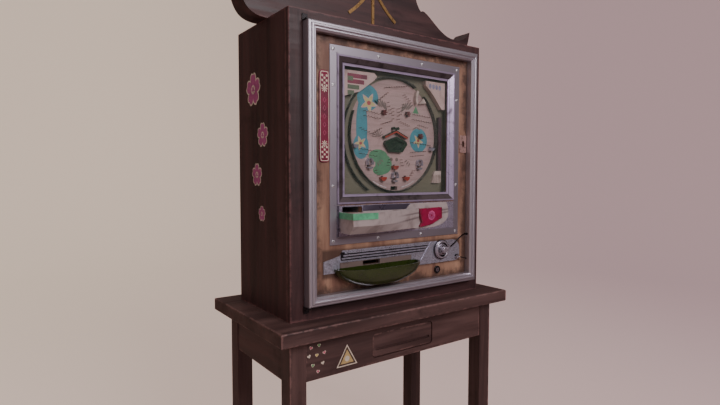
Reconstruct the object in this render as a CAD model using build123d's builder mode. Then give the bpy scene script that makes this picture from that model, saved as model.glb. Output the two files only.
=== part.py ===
from build123d import *
from math import cos, radians, sin
import os

# Upright pachinko machine in a wooden cabinet, on a stand with one drawer.
# Millimetres. X to the right, Y into the cabinet, Z up, origin on the floor
# under the middle of the stand. The sizes are built up from the round playfield
# outwards, so a change to an inner size carries every frame around it along.

os.makedirs("parts", exist_ok=True)

# ---------------------------------------------------------------- driving sizes
# Playfield and window
rail_radius = 192.0          # inside of the round ball rail
rail_side_room = 36.0        # rail to the window's left and right edges
rail_end_room = 11.0         # rail to the window's top and bottom edges
rail_drop = 4.0              # rail centre below the window centre
rail_thickness = 2.4
rail_height = 14.0           # how far rails stand off the board
ball_diameter = 11.0
board_thickness = 12.0
board_margin = 32.0          # board beyond the window on each side

# Window frame, steel bezel and tray plate
frame_bar = 32.0
frame_back_gap = 1.2         # running gap between a small door and the panel
frame_edge_depth = 5.0
frame_lip = 6.0              # flat strip round the outside of the window frame
frame_ring = 5.0             # flat strip next to the glass
frame_recess = 10.5          # the glass lies this far behind the frame's front
frame_body = 20.0            # part of the frame that reaches into the panel's opening
bezel_strip = 26.0
bezel_thickness = 3.0
bezel_gap = 1.0              # between the bezel and the doors inside it
tray_plate_height = 102.0
tray_plate_thickness = 3.0
glass_thickness = 4.0
glass_rebate = 8.0
small_pin_radius = 1.5
small_pin_inset = 2.5        # hinge axis from the left edge of a small door
small_lug_height = 3.0
pin_clearance = 0.05

# Wooden door panel and metal rim
panel_left = 59.0
panel_right = 43.0
panel_below = 151.0
panel_above = 25.0
panel_thickness = 18.0
panel_set_back = 33.0        # panel face behind the front of the rim
panel_opening_lip = 22.0     # panel's opening beyond the window on each side
rim_bar = 29.5
rim_depth = 38.5
rim_gap = 1.5                # between the rim and the cabinet front
rim_bead_width = 10.0
rim_bead_height = 5.0
rim_bead_inset = 9.0
main_pin_radius = 2.5
main_pin_inset = 6.0         # hinge axis from the rim's left edge
main_pin_depth = 20.0        # hinge axis in front of the cabinet

# Cabinet
surround_side = 47.5
surround_below = 45.5
surround_above = 35.5
surround_thickness = 20.0
jamb_clearance = 5.0
cabinet_depth = 378.0
side_board = 22.0
back_board = 12.0
headboard_set_back = 140.0
headboard_thickness = 80.0
headboard_overhang = 98.0
headboard_tip_height = 107.0
headboard_low_height = 63.0
headboard_crest = 350.0

# Stand
stand_height = 720.0
stand_top_thickness = 43.0
stand_side_lip = 73.0
stand_front_lip = 86.0
stand_back_lip = 69.0
leg_side = 55.0
leg_inset_side = 47.0
leg_inset_front = 41.0
apron_height = 131.0
apron_thickness = 20.0
apron_set_back = 3.0
drawer_width = 266.0
drawer_height = 78.0
drawer_drop = 32.0           # stand top's underside to the drawer front
drawer_corner = 12.0
drawer_gap = 1.5
drawer_front_thickness = 18.0
drawer_box_length = 320.0
drawer_box_side_room = 13.0
drawer_wall = 9.0
running_gap = 0.3

# ---------------------------------------------------------------- derived sizes
window_width = 2 * (rail_radius + rail_side_room)
window_height = 2 * (rail_radius + rail_end_room)
frame_width = window_width + 2 * frame_bar
frame_height = window_height + 2 * frame_bar
bezel_width = frame_width + 2 * bezel_strip
bezel_height = frame_height + tray_plate_height + 2 * bezel_strip
panel_width = bezel_width + panel_left + panel_right
panel_height = bezel_height + panel_below + panel_above
rim_width = panel_width + 2 * rim_bar
rim_height = panel_height + 2 * rim_bar
cabinet_width = rim_width + 2 * surround_side
cabinet_height = rim_height + surround_below + surround_above
stand_width = cabinet_width + 2 * stand_side_lip
stand_depth = cabinet_depth + stand_front_lip + stand_back_lip

front_y = -stand_depth / 2 + stand_front_lip          # cabinet's front plane
back_y = front_y + cabinet_depth
base_z = stand_height
roof_z = base_z + cabinet_height
rim_bottom = base_z + surround_below
panel_bottom = rim_bottom + rim_bar
bezel_bottom = panel_bottom + panel_below
bezel_top = bezel_bottom + bezel_height
tray_bottom = bezel_bottom + bezel_strip
frame_bottom = tray_bottom + tray_plate_height
frame_top = frame_bottom + frame_height
window_bottom = frame_bottom + frame_bar
window_z = window_bottom + window_height / 2
unit_x = -panel_width / 2 + panel_left + bezel_width / 2   # middle of window and bezel
rail_x = unit_x
rail_z = window_z - rail_drop
frame_left = unit_x - frame_width / 2

# Depths behind the cabinet's front plane; negative is in front of it
rim_front = -rim_gap - rim_depth
panel_front = rim_front + panel_set_back
panel_back = panel_front + panel_thickness
bezel_front = panel_front - bezel_thickness
door_back = panel_front - frame_back_gap
tray_plate_front = door_back - tray_plate_thickness
small_axis_depth = door_back - frame_edge_depth / 2 - 0.3
frame_front = door_back - frame_edge_depth
glass_front = frame_front + frame_recess
glass_back = glass_front + glass_thickness
frame_back = glass_back + 1.5
board_front = panel_back + 14.0
board_back = board_front + board_thickness
small_axis_x = frame_left + small_pin_inset
main_axis_x = -rim_width / 2 + main_pin_inset


# -------------------------------------------------------------------- helpers
def facing(depth):
    """Plane looking out of the cabinet front, with X to the right and Z up."""
    return Plane.XZ.offset(-(front_y + depth))


def save(builder, name):
    """Label a finished piece and write it to its own file."""
    builder.part.label = name
    export_step(builder.part, f"parts/{name}.step")


def around(angle, radius):
    """Point on a circle about the playfield centre, in panel coordinates."""
    return (rail_x + radius * cos(radians(angle)), rail_z + radius * sin(radians(angle)))


def at(across, up):
    """Point given from the playfield centre, in panel coordinates."""
    return (rail_x + across, rail_z + up)


# ---------------------------------------------------------------------- stand
leg_x = stand_width / 2 - leg_inset_side - leg_side / 2
leg_y = stand_depth / 2 - leg_inset_front - leg_side / 2
leg_height = stand_height - stand_top_thickness
apron_bottom = leg_height - apron_height
apron_front_y = -leg_y - leg_side / 2 + apron_set_back
apron_back_y = leg_y + leg_side / 2 - apron_set_back
apron_side_x = leg_x + leg_side / 2 - apron_set_back
drawer_z = leg_height - drawer_drop - drawer_height / 2

with BuildPart() as stand_top:
    with BuildSketch(Plane.XY.offset(leg_height)):
        Rectangle(stand_width, stand_depth)
    extrude(amount=stand_top_thickness)
    fillet(stand_top.edges().group_by(Axis.Z)[-1], 5)
    chamfer(stand_top.edges().group_by(Axis.Z)[0], 3)
save(stand_top, "stand_top")

with BuildPart() as legs:
    with BuildSketch():
        with GridLocations(2 * leg_x, 2 * leg_y, 2, 2):
            Rectangle(leg_side, leg_side)
    extrude(amount=leg_height)
    chamfer(legs.edges().group_by(Axis.Z)[0], 3)
save(legs, "legs")

with BuildPart() as apron_front:
    with BuildSketch(Plane.XZ.offset(-apron_front_y - apron_thickness)):
        with Locations((0, apron_bottom + apron_height / 2)):
            Rectangle(2 * leg_x - leg_side, apron_height)
        with Locations((0, drawer_z)):
            RectangleRounded(drawer_width + 2 * drawer_gap, drawer_height + 2 * drawer_gap,
                             drawer_corner + drawer_gap, mode=Mode.SUBTRACT)
    extrude(amount=apron_thickness)
    chamfer(apron_front.edges().group_by(Axis.Z)[0], 2)
save(apron_front, "apron_front")

with BuildPart() as aprons:
    with BuildSketch(Plane.XY.offset(apron_bottom)):
        with Locations((0, apron_back_y - apron_thickness / 2)):
            Rectangle(2 * leg_x - leg_side, apron_thickness)
        with GridLocations(2 * apron_side_x - apron_thickness, 1, 2, 1):
            Rectangle(apron_thickness, 2 * leg_y - leg_side)
    extrude(amount=apron_height)
    chamfer(aprons.edges().group_by(Axis.Z)[0], 2)
save(aprons, "aprons")

box_width = drawer_width - 2 * drawer_box_side_room
box_height = drawer_height - 16
box_bottom = drawer_z - drawer_height / 2 + 8
drawer_face_y = apron_front_y + 2
box_front_y = drawer_face_y + drawer_front_thickness
box_back_y = box_front_y + drawer_box_length
runner_ledge = 12.0
runner_thickness = 8.0
runner_guide = 14.0

with BuildPart() as drawer_front:
    with BuildSketch(Plane.XZ.offset(-box_front_y)):
        with Locations((0, drawer_z)):
            RectangleRounded(drawer_width, drawer_height, drawer_corner)
    extrude(amount=drawer_front_thickness)
    chamfer(drawer_front.faces().sort_by(Axis.Y)[0].edges(), 2)
    with BuildSketch(Plane.XZ.offset(-drawer_face_y)):
        with Locations((0, drawer_z - drawer_height / 6)):
            SlotOverall(drawer_width - 24, 9)
    extrude(amount=-6, mode=Mode.SUBTRACT)
save(drawer_front, "drawer_front")

with BuildPart() as drawer_box:
    with BuildSketch(Plane.XY.offset(box_bottom)):
        with Locations((0, (box_front_y + box_back_y) / 2)):
            Rectangle(box_width, drawer_box_length)
    extrude(amount=box_height)
    with BuildSketch(Plane.XY.offset(box_bottom + drawer_wall)):
        with Locations((0, (box_front_y + box_back_y) / 2)):
            Rectangle(box_width - 2 * drawer_wall, drawer_box_length - 2 * drawer_wall)
    extrude(amount=box_height, mode=Mode.SUBTRACT)
save(drawer_box, "drawer_box")

with BuildPart() as drawer_runners:
    with BuildSketch(Plane.XZ.offset(-apron_front_y - apron_thickness)):
        ledge_z = box_bottom - running_gap - runner_thickness / 2
        guide_z = ledge_z - runner_thickness / 2 + (runner_guide + runner_thickness) / 2
        ledge_x = box_width / 2 - runner_ledge / 2
        guide_x = box_width / 2 + 1 + runner_ledge / 2
        with Locations((-ledge_x - 1, ledge_z), (ledge_x + 1, ledge_z)):
            Rectangle(runner_ledge + 2, runner_thickness)
        with Locations((-guide_x, guide_z), (guide_x, guide_z)):
            Rectangle(runner_ledge, runner_guide + runner_thickness)
    extrude(amount=-(apron_back_y - apron_front_y - 2 * apron_thickness))
save(drawer_runners, "drawer_runners")

# -------------------------------------------------------------------- cabinet
inner_half = cabinet_width / 2 - side_board
carcass_front = front_y + surround_thickness

with BuildPart() as cabinet_sides:
    with BuildSketch(Plane.XY.offset(base_z)):
        with Locations((0, (carcass_front + back_y) / 2)):
            with GridLocations(2 * inner_half + side_board, 1, 2, 1):
                Rectangle(side_board, back_y - carcass_front)
    extrude(amount=cabinet_height)
    back_uprights = cabinet_sides.edges().filter_by(Axis.Z).group_by(Axis.Y)[-1]
    chamfer(back_uprights, 2)
save(cabinet_sides, "cabinet_sides")

with BuildPart() as cabinet_shelves:
    with BuildSketch(Plane.XY.offset(base_z)):
        with Locations((0, (carcass_front + back_y) / 2)):
            Rectangle(2 * inner_half, back_y - carcass_front)
    extrude(amount=side_board)
    with BuildSketch(Plane.XY.offset(roof_z - side_board)):
        with Locations((0, (carcass_front + back_y) / 2)):
            Rectangle(2 * inner_half, back_y - carcass_front)
    extrude(amount=side_board)
save(cabinet_shelves, "cabinet_shelves")

vent_count = 7
vent_pitch = 60.0
with BuildPart() as cabinet_back:
    with BuildSketch(Plane.XZ.offset(-back_y)):
        with Locations((0, (base_z + roof_z) / 2)):
            Rectangle(2 * inner_half, cabinet_height - 2 * side_board)
        with Locations((0, roof_z - 150)):
            with GridLocations(vent_pitch, 1, vent_count, 1):
                SlotOverall(90, 12, rotation=90, mode=Mode.SUBTRACT)
    extrude(amount=back_board)
save(cabinet_back, "cabinet_back")

opening_width = panel_width + 2 * jamb_clearance
opening_height = panel_height + 2 * jamb_clearance
with BuildPart() as front_surround:
    with BuildSketch(facing(surround_thickness)):
        with Locations((0, (base_z + roof_z) / 2)):
            Rectangle(cabinet_width, cabinet_height)
        with Locations((0, panel_bottom + panel_height / 2)):
            Rectangle(opening_width, opening_height, mode=Mode.SUBTRACT)
    extrude(amount=surround_thickness)
    outer_uprights = front_surround.edges().filter_by(Axis.Z).group_by(Axis.Y)[0]
    chamfer([outer_uprights.sort_by(Axis.X)[0], outer_uprights.sort_by(Axis.X)[-1]], 2)
save(front_surround, "front_surround")

half_cabinet = cabinet_width / 2
with BuildPart() as headboard:
    with BuildSketch(facing(headboard_set_back + headboard_thickness)):
        with BuildLine():
            tip = (half_cabinet + headboard_overhang, roof_z + headboard_tip_height)
            low = (half_cabinet + 13, roof_z + headboard_low_height)
            shoulder = (half_cabinet / 2 + 8, roof_z + 168)
            crest = (0, roof_z + headboard_crest)
            Line((0, roof_z), (half_cabinet, roof_z))
            Spline((half_cabinet, roof_z), (half_cabinet + 60, roof_z + 16), tip,
                   tangents=((1, 0), (0.2, 1)))
            Spline(tip, (half_cabinet + 66, roof_z + 77), low,
                   (half_cabinet - 75, roof_z + 88), (half_cabinet - 172, roof_z + 144), shoulder,
                   tangents=((-0.8, -0.6), (-0.5, 0.86)))
            Spline(shoulder, (half_cabinet / 3, roof_z + 262), crest, tangents=((-0.3, 0.95), (-1, 0)))
            Line(crest, (0, roof_z))
        make_face()
        mirror(about=Plane.YZ)
    extrude(amount=headboard_thickness)
save(headboard, "headboard")

motif_z = roof_z + 232.0
motif_stroke = 11.0
motif_height = 3.0
with BuildPart() as gold_motif:
    with BuildSketch(facing(headboard_set_back)):
        with BuildLine():
            Line((0, roof_z + 52), (0, motif_z - 66))
        trace(line_width=motif_stroke)
        for side in (-1, 1):
            with BuildLine():
                ThreePointArc((side * 105, roof_z + 74), (side * 60, roof_z + 112),
                              (side * 14, motif_z - 66))
            trace(line_width=motif_stroke)
        with Locations((0, motif_z)):
            with PolarLocations(34, 5, start_angle=90):
                Circle(27)
            Circle(22)
        with Locations((0, motif_z)):
            with PolarLocations(34, 5, start_angle=90):
                Circle(16, mode=Mode.SUBTRACT)
    extrude(amount=motif_height)
save(gold_motif, "gold_motif")

# Thin printed stickers: blossoms on the left side, hearts and a shield on the apron
sticker_thickness = 0.6
blossoms = [(253, 732, 116), (183, 577, 84), (229, 448, 80), (193, 320, 54)]
hearts = [(18, -72), (46, -69), (11, -97), (38, -98), (65, -95),
          (24, -127), (59, -126), (42, -149)]
heart_size = 13.0
shield = (149.0, -132.0)
apron_left = -leg_x + leg_side / 2
with BuildPart() as stickers:
    with BuildSketch(Plane.YZ.offset(-cabinet_width / 2)):
        for depth, height, size in blossoms:
            with Locations((front_y + depth, base_z + height)):
                with PolarLocations(size * 0.27, 5, start_angle=90):
                    Ellipse(size * 0.24, size * 0.19)
                Circle(size * 0.16)
    extrude(amount=-sticker_thickness)
    with BuildSketch(Plane.XZ.offset(-apron_front_y)):
        for across, up in hearts:
            with Locations((apron_left + across, stand_height + up)):
                with GridLocations(heart_size * 0.44, 1, 2, 1):
                    Circle(heart_size * 0.3)
            with Locations((apron_left + across, stand_height + up - heart_size * 0.14)):
                Rectangle(heart_size * 0.56, heart_size * 0.56, rotation=45)
        with Locations((apron_left + shield[0], stand_height + shield[1])):
            RegularPolygon(46, 3, rotation=90)
    extrude(amount=sticker_thickness)
save(stickers, "stickers")

# Pivot brackets: a plate above and below the rim, each with the pin it turns on
bracket_plate = 3.0
bracket_width = 18.0
bracket_upright = 22.0
bracket_reach = main_pin_depth + 7.0
pin_engagement = 9.0
with BuildPart() as pivot_brackets:
    for level, up in ((rim_bottom + rim_height + running_gap, 1), (rim_bottom - running_gap, -1)):
        with BuildSketch(Plane.XY.offset(level)):
            with Locations((main_axis_x, front_y - bracket_reach / 2)):
                RectangleRounded(bracket_width, bracket_reach, 3)
            with Locations((main_axis_x, front_y - bracket_plate / 2)):
                Rectangle(bracket_width, bracket_plate)
        extrude(amount=up * bracket_plate)
        with BuildSketch(Plane.XY.offset(level)):
            with Locations((main_axis_x, front_y - bracket_plate / 2)):
                Rectangle(bracket_width, bracket_plate)
        extrude(amount=up * bracket_upright)
        with BuildSketch(Plane.XY.offset(level)):
            with Locations((main_axis_x, front_y - main_pin_depth)):
                Circle(main_pin_radius)
        extrude(amount=-up * pin_engagement)
save(pivot_brackets, "pivot_brackets")

# ------------------------------------------------------------------ main door
with BuildPart() as rim_frame:
    with BuildSketch(facing(-rim_gap)):
        with Locations((0, rim_bottom + rim_height / 2)):
            Rectangle(rim_width, rim_height)
            Rectangle(panel_width, panel_height, mode=Mode.SUBTRACT)
    extrude(amount=rim_depth - rim_bead_height)
    rim_face = rim_frame.faces().sort_by(Axis.Y)[0]
    rim_outer_edges = rim_face.outer_wire().edges()
    rim_inner_edges = rim_face.inner_wires()[0].edges()
    fillet(rim_outer_edges, 5)
    chamfer(rim_inner_edges, 6)
    with BuildSketch(facing(-rim_gap - rim_depth + rim_bead_height)):
        bead_outer = 2 * rim_bead_inset
        bead_inner = bead_outer + 2 * rim_bead_width
        with Locations((0, rim_bottom + rim_height / 2)):
            Rectangle(rim_width - bead_outer, rim_height - bead_outer)
            Rectangle(rim_width - bead_inner, rim_height - bead_inner, mode=Mode.SUBTRACT)
    extrude(amount=rim_bead_height)
    fillet(rim_frame.faces().sort_by(Axis.Y)[0].edges(), 4)
    for level, up in ((rim_bottom + rim_height, -1), (rim_bottom, 1)):
        with BuildSketch(Plane.XY.offset(level)):
            with Locations((main_axis_x, front_y - main_pin_depth)):
                Circle(main_pin_radius + pin_clearance)
        extrude(amount=up * (pin_engagement + 1), mode=Mode.SUBTRACT)
save(rim_frame, "rim_frame")

# Places on the panel
shooter_x = rim_width / 2 - 163.5
shooter_z = base_z + 175.0
release_x = shooter_x + 83.0
release_z = shooter_z - 33.0
lock_x = shooter_x - 15.0
lock_z = shooter_z - 74.0
latch_x = panel_width / 2 - 20.0
latch_z = window_z - 24.0
latch_width = 36.0
latch_height = 66.0
latch_hole = (24.0, 11.0)
latch_pocket = 7.0
badge_x = -panel_width / 2 + 39.0
badge_z = window_z + 38.0
slot_x = frame_left + 58.0
slot_width = 78.0
slot_height = 20.0
slot_z = frame_bottom - 18.0
overflow_x = -118.0
overflow_z = base_z + 160.0
overflow_width = 70.0
overflow_height = 14.0
shooter_shaft = 5.0
release_shaft = 3.0
lock_barrel = 11.0
lock_core = 8.0

with BuildPart() as door_panel:
    with BuildSketch(facing(panel_back)):
        with Locations((0, panel_bottom + panel_height / 2)):
            Rectangle(panel_width, panel_height)
        with Locations((unit_x, window_z)):
            Rectangle(window_width + 2 * panel_opening_lip, window_height + 2 * panel_opening_lip,
                      mode=Mode.SUBTRACT)
        with Locations((slot_x, slot_z)):
            Rectangle(slot_width, slot_height, mode=Mode.SUBTRACT)
        with Locations((overflow_x, overflow_z)):
            Rectangle(overflow_width, overflow_height, mode=Mode.SUBTRACT)
        with Locations((shooter_x, shooter_z)):
            Circle(shooter_shaft + 1, mode=Mode.SUBTRACT)
        with Locations((release_x, release_z)):
            Circle(release_shaft + 1, mode=Mode.SUBTRACT)
        with Locations((lock_x, lock_z)):
            Circle(lock_barrel, mode=Mode.SUBTRACT)
    extrude(amount=panel_thickness)
    with BuildSketch(facing(panel_front)):
        with Locations((latch_x, latch_z)):
            SlotOverall(latch_hole[0], latch_hole[1], rotation=90)
    extrude(amount=-latch_pocket, mode=Mode.SUBTRACT)
save(door_panel, "door_panel")

# Steel bezel with three lugs; their pins carry the window frame and the tray plate
lug_front = small_axis_depth - 3.0
lug_width = 7.0
mid_lug_z = frame_bottom - small_lug_height / 2
with BuildPart() as bezel:
    with BuildSketch(facing(panel_front)):
        with Locations((unit_x, bezel_bottom + bezel_height / 2)):
            Rectangle(bezel_width, bezel_height)
            Rectangle(frame_width + 2 * bezel_gap, bezel_height - 2 * bezel_strip, mode=Mode.SUBTRACT)
    extrude(amount=bezel_thickness)
    bezel_face = bezel.faces().sort_by(Axis.Y)[0]
    chamfer(bezel_face.outer_wire().edges(), 1.2)
    with BuildSketch(facing(bezel_front)):
        with Locations((small_axis_x, frame_top + small_lug_height / 2),
                       (small_axis_x, tray_bottom - small_lug_height / 2)):
            Rectangle(lug_width, small_lug_height)
        with Locations((small_axis_x - 4, mid_lug_z)):
            Rectangle(lug_width + 8, small_lug_height)
    extrude(amount=bezel_front - lug_front)
    with BuildSketch(Plane.XY.offset(frame_top)):
        with Locations((small_axis_x, front_y + small_axis_depth)):
            Circle(small_pin_radius)
    extrude(amount=-7)
    with BuildSketch(Plane.XY.offset(frame_bottom - small_lug_height - 6)):
        with Locations((small_axis_x, front_y + small_axis_depth)):
            Circle(small_pin_radius)
    extrude(amount=small_lug_height + 12)
    with BuildSketch(Plane.XY.offset(tray_bottom)):
        with Locations((small_axis_x, front_y + small_axis_depth)):
            Circle(small_pin_radius)
    extrude(amount=6)
save(bezel, "bezel")

# Round-head screws around the bezel, standing on its strips
screw_inset = bezel_strip / 2
screw_head = 4.2
bezel_left_x = unit_x - bezel_width / 2 + screw_inset
bezel_right_x = unit_x + bezel_width / 2 - screw_inset
bezel_low_z = bezel_bottom + screw_inset
bezel_high_z = bezel_top - screw_inset
screw_rows = [bezel_left_x, bezel_left_x + 178, bezel_right_x - 175, bezel_right_x]
screw_places = [(x, z) for x in screw_rows for z in (bezel_low_z, bezel_high_z)]
screw_places += [(x, window_z - 176) for x in (bezel_left_x, bezel_right_x)]
screw_places += [(x, window_z + 138) for x in (bezel_left_x, bezel_right_x)]
with BuildPart() as bezel_screws:
    with BuildSketch(facing(bezel_front)):
        with Locations(*screw_places):
            Circle(screw_head)
    extrude(amount=2.4)
    fillet(bezel_screws.faces().group_by(Axis.Y)[0].edges(), 2.0)
save(bezel_screws, "bezel_screws")

with BuildPart() as side_badge:
    with BuildSketch(facing(panel_front)):
        with Locations((badge_x, badge_z)):
            RectangleRounded(37, 282, 12)
    extrude(amount=4)
    chamfer(side_badge.faces().sort_by(Axis.Y)[0].edges(), 1)
save(side_badge, "side_badge")

with BuildPart() as latch_plate:
    with BuildSketch(facing(panel_front)):
        with Locations((latch_x, latch_z)):
            RectangleRounded(latch_width, latch_height, 7)
            SlotOverall(latch_hole[0], latch_hole[1], rotation=90, mode=Mode.SUBTRACT)
    extrude(amount=4)
    latch_face = latch_plate.faces().sort_by(Axis.Y)[0]
    fillet(latch_face.outer_wire().edges(), 1.5)
save(latch_plate, "latch_plate")

# Pressed lower plate: plain hammered right end, ribbed left end with a step
plate_top = base_z + 207.0
plate_low = base_z + 127.0
plate_left = -panel_width / 2 + 35.0
plate_right = panel_width / 2 - 35.0
plate_thickness = 3.0
rib_pitch = 9.0
rib_count = 4
rib_height = 2.4
with BuildPart() as lower_plate:
    with BuildSketch(facing(panel_front)):
        with BuildLine():
            Polyline((plate_left, plate_low + 10), (plate_left, plate_top - 31),
                     (plate_left + 60, plate_top - 17), (plate_left + 72, plate_top),
                     (plate_right - 36, plate_top))
            ThreePointArc((plate_right - 36, plate_top), (plate_right - 10, plate_top - 11),
                          (plate_right, plate_top - 37))
            Line((plate_right, plate_top - 37), (plate_right, plate_low + 22))
            ThreePointArc((plate_right, plate_low + 22), (plate_right - 7, plate_low + 7),
                          (plate_right - 22, plate_low))
            Polyline((plate_right - 22, plate_low), (plate_left + 180, plate_low),
                     (plate_left + 170, plate_low + 10), (plate_left, plate_low + 10))
        make_face()
        with Locations((shooter_x, shooter_z)):
            Circle(shooter_shaft + 1, mode=Mode.SUBTRACT)
        with Locations((release_x, release_z)):
            Circle(release_shaft + pin_clearance, mode=Mode.SUBTRACT)
    extrude(amount=plate_thickness)
    with BuildSketch(facing(panel_front - plate_thickness)):
        for rib in range(rib_count):
            rib_z = plate_top - 8 - rib * rib_pitch
            rib_left = plate_left + 78 - rib * 6
            rib_right = shooter_x - 58 - rib * 9
            with Locations(((rib_left + rib_right) / 2, rib_z)):
                SlotOverall(rib_right - rib_left, 5)
    extrude(amount=rib_height)
    with BuildSketch(facing(panel_front - plate_thickness)):
        with BuildLine():
            Line((shooter_x - 46, plate_top - 1.5), (shooter_x - 98, plate_top - 66))
        trace(line_width=3)
    extrude(amount=1.6)
    with BuildSketch(facing(panel_front)):
        with Locations((overflow_x, overflow_z)):
            Rectangle(overflow_width, overflow_height)
    extrude(amount=2 * plate_thickness, mode=Mode.SUBTRACT)
save(lower_plate, "lower_plate")

# Boat-shaped lower tray: blunt at both ends in plan, lofted down to a smaller outline
boat_x = -92.0
boat_half = 172.0
boat_reach = 72.0
boat_rim_z = base_z + 150.0
boat_floor_z = base_z + 92.0
boat_wall = 4.0


def boat_outline(level, half, reach, shift):
    """Blunt outline in plan at one height, its straight side towards the panel."""
    y_back = front_y + panel_front - plate_thickness - shift
    shares = [(-1, 0), (-0.94, 0.5), (-0.64, 0.88), (0, 1), (0.64, 0.88), (0.94, 0.5), (1, 0)]
    points = [(boat_x + half * across, y_back - (reach - shift) * out) for across, out in shares]
    with BuildSketch(Plane.XY.offset(level)) as outline:
        with BuildLine():
            Spline(*points)
            Line(points[-1], points[0])
        make_face()
    return outline.sketch


def boat_hull(inset, floor_z):
    """Outlines from the rim down to the floor, along a quarter of an ellipse."""
    outlines = []
    for angle in (0, 22, 42, 60):
        share = cos(radians(angle))
        level = boat_rim_z - (boat_rim_z - floor_z) * sin(radians(angle)) / sin(radians(60))
        outlines.append(boat_outline(level, (boat_half - 2 * inset) * share,
                                     (boat_reach - inset) * (0.3 + 0.7 * share), inset))
    return outlines


with BuildPart() as lower_tray:
    loft(boat_hull(0, boat_floor_z))
    loft(boat_hull(boat_wall, boat_floor_z + boat_wall), mode=Mode.SUBTRACT)
    with BuildSketch(facing(panel_front - plate_thickness)):
        with Locations((boat_x, boat_rim_z + 9)):
            Rectangle(1.74 * boat_half, 18)
        with Locations((overflow_x, overflow_z)):
            Rectangle(overflow_width, overflow_height, mode=Mode.SUBTRACT)
    extrude(amount=2.5)
save(lower_tray, "lower_tray")

# Steel balls lying on the tray floor
ball_rest_z = boat_floor_z + boat_wall + ball_diameter / 2 + 0.2
ball_y = front_y + panel_front - plate_thickness - 18.0
ball_pitch = ball_diameter + 1.5
with BuildPart() as loose_balls:
    with Locations((boat_x, ball_y, ball_rest_z)):
        with GridLocations(ball_pitch, 1, 10, 1):
            Sphere(ball_diameter / 2)
    with Locations((boat_x + 4, ball_y - ball_pitch, ball_rest_z)):
        with GridLocations(ball_pitch, 1, 7, 1):
            Sphere(ball_diameter / 2)
save(loose_balls, "loose_balls")

# Shooter: fixed boss with a raised ring, and the turning knob with its thumb lever
boss_radius = 36.0
boss_height = 7.0
boss_front = panel_front - plate_thickness - boss_height
with BuildPart() as shooter_boss:
    with BuildSketch(facing(panel_front - plate_thickness)):
        with Locations((shooter_x, shooter_z)):
            Circle(boss_radius)
            Circle(shooter_shaft + pin_clearance, mode=Mode.SUBTRACT)
    extrude(amount=boss_height)
    with BuildSketch(facing(boss_front)):
        with Locations((shooter_x, shooter_z)):
            Circle(boss_radius - 4)
            Circle(boss_radius - 11, mode=Mode.SUBTRACT)
    extrude(amount=6)
    fillet(shooter_boss.faces().sort_by(Axis.Y)[0].edges(), 2.5)
save(shooter_boss, "shooter_boss")

knob_back = boss_front - running_gap
knob_front = knob_back - 22.0
shaft_end = panel_back + 14.0
lever_start_y = front_y + knob_front + 4
lever_points = [(shooter_x + 4, lever_start_y, shooter_z + 2),
                (shooter_x + 30, lever_start_y - 16, shooter_z + 26),
                (shooter_x + 62, lever_start_y - 20, shooter_z + 50),
                (shooter_x + 92, lever_start_y - 18, shooter_z + 55)]
with BuildPart() as shooter_lever:
    with BuildSketch(facing(knob_back)):
        with Locations((shooter_x, shooter_z)):
            Circle(18)
    extrude(amount=9)
    with BuildSketch(facing(knob_back - 9)):
        with Locations((shooter_x, shooter_z)):
            Circle(13)
    extrude(amount=13, taper=8)
    fillet(shooter_lever.faces().sort_by(Axis.Y)[0].edges(), 2)
    with BuildSketch(facing(shaft_end)):
        with Locations((shooter_x, shooter_z)):
            Circle(shooter_shaft)
    extrude(amount=shaft_end - knob_back)
    with BuildSketch(facing(shaft_end)):
        with Locations((shooter_x, shooter_z + 20)):
            SlotOverall(54, 14, rotation=90)
    extrude(amount=5)
    with BuildLine():
        lever_line = Spline(*lever_points)
    with BuildSketch(Plane(origin=lever_line @ 0, z_dir=lever_line % 0)):
        Circle(2.6)
    sweep(path=lever_line)
    with Locations(lever_points[-1]):
        Sphere(5)
save(shooter_lever, "shooter_lever")

# Hammer behind the panel, swinging on a stud of its bracket
hammer_x = shooter_x - 60.0
hammer_z = shooter_z + 62.0
hammer_hub = 10.0
hammer_stud = 3.0
hammer_back = panel_back + 16.0
with BuildPart() as hammer_bracket:
    with BuildSketch(facing(panel_back + 3)):
        with Locations((hammer_x, hammer_z - 8)):
            RectangleRounded(44, 60, 6)
    extrude(amount=3)
    with BuildSketch(facing(panel_back + 3)):
        with Locations((hammer_x, hammer_z)):
            Circle(hammer_stud)
    extrude(amount=-17)
save(hammer_bracket, "hammer_bracket")

with BuildPart() as hammer:
    with BuildSketch(facing(hammer_back)):
        with Locations((hammer_x, hammer_z)):
            Circle(hammer_hub)
            Circle(hammer_stud + pin_clearance, mode=Mode.SUBTRACT)
        with BuildLine():
            Line((hammer_x + 8, hammer_z + 6), (hammer_x + 62, hammer_z + 44))
        trace(line_width=9)
    extrude(amount=8)
    with BuildSketch(facing(hammer_back)):
        with Locations((hammer_x + 66, hammer_z + 47)):
            Rectangle(20, 13, rotation=125)
    extrude(amount=12)
save(hammer, "hammer")

# Key lock: fixed barrel, turning core with a cam behind the panel
with BuildPart() as lock_housing:
    with BuildSketch(facing(panel_back + 6)):
        with Locations((lock_x, lock_z)):
            Circle(lock_barrel)
            Circle(lock_core + pin_clearance, mode=Mode.SUBTRACT)
    extrude(amount=panel_thickness + 6)
    with BuildSketch(facing(panel_front)):
        with Locations((lock_x, lock_z)):
            Circle(14)
            Circle(lock_core + pin_clearance, mode=Mode.SUBTRACT)
    extrude(amount=5)
    fillet(lock_housing.faces().sort_by(Axis.Y)[0].outer_wire().edges(), 2)
save(lock_housing, "lock_housing")

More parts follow.
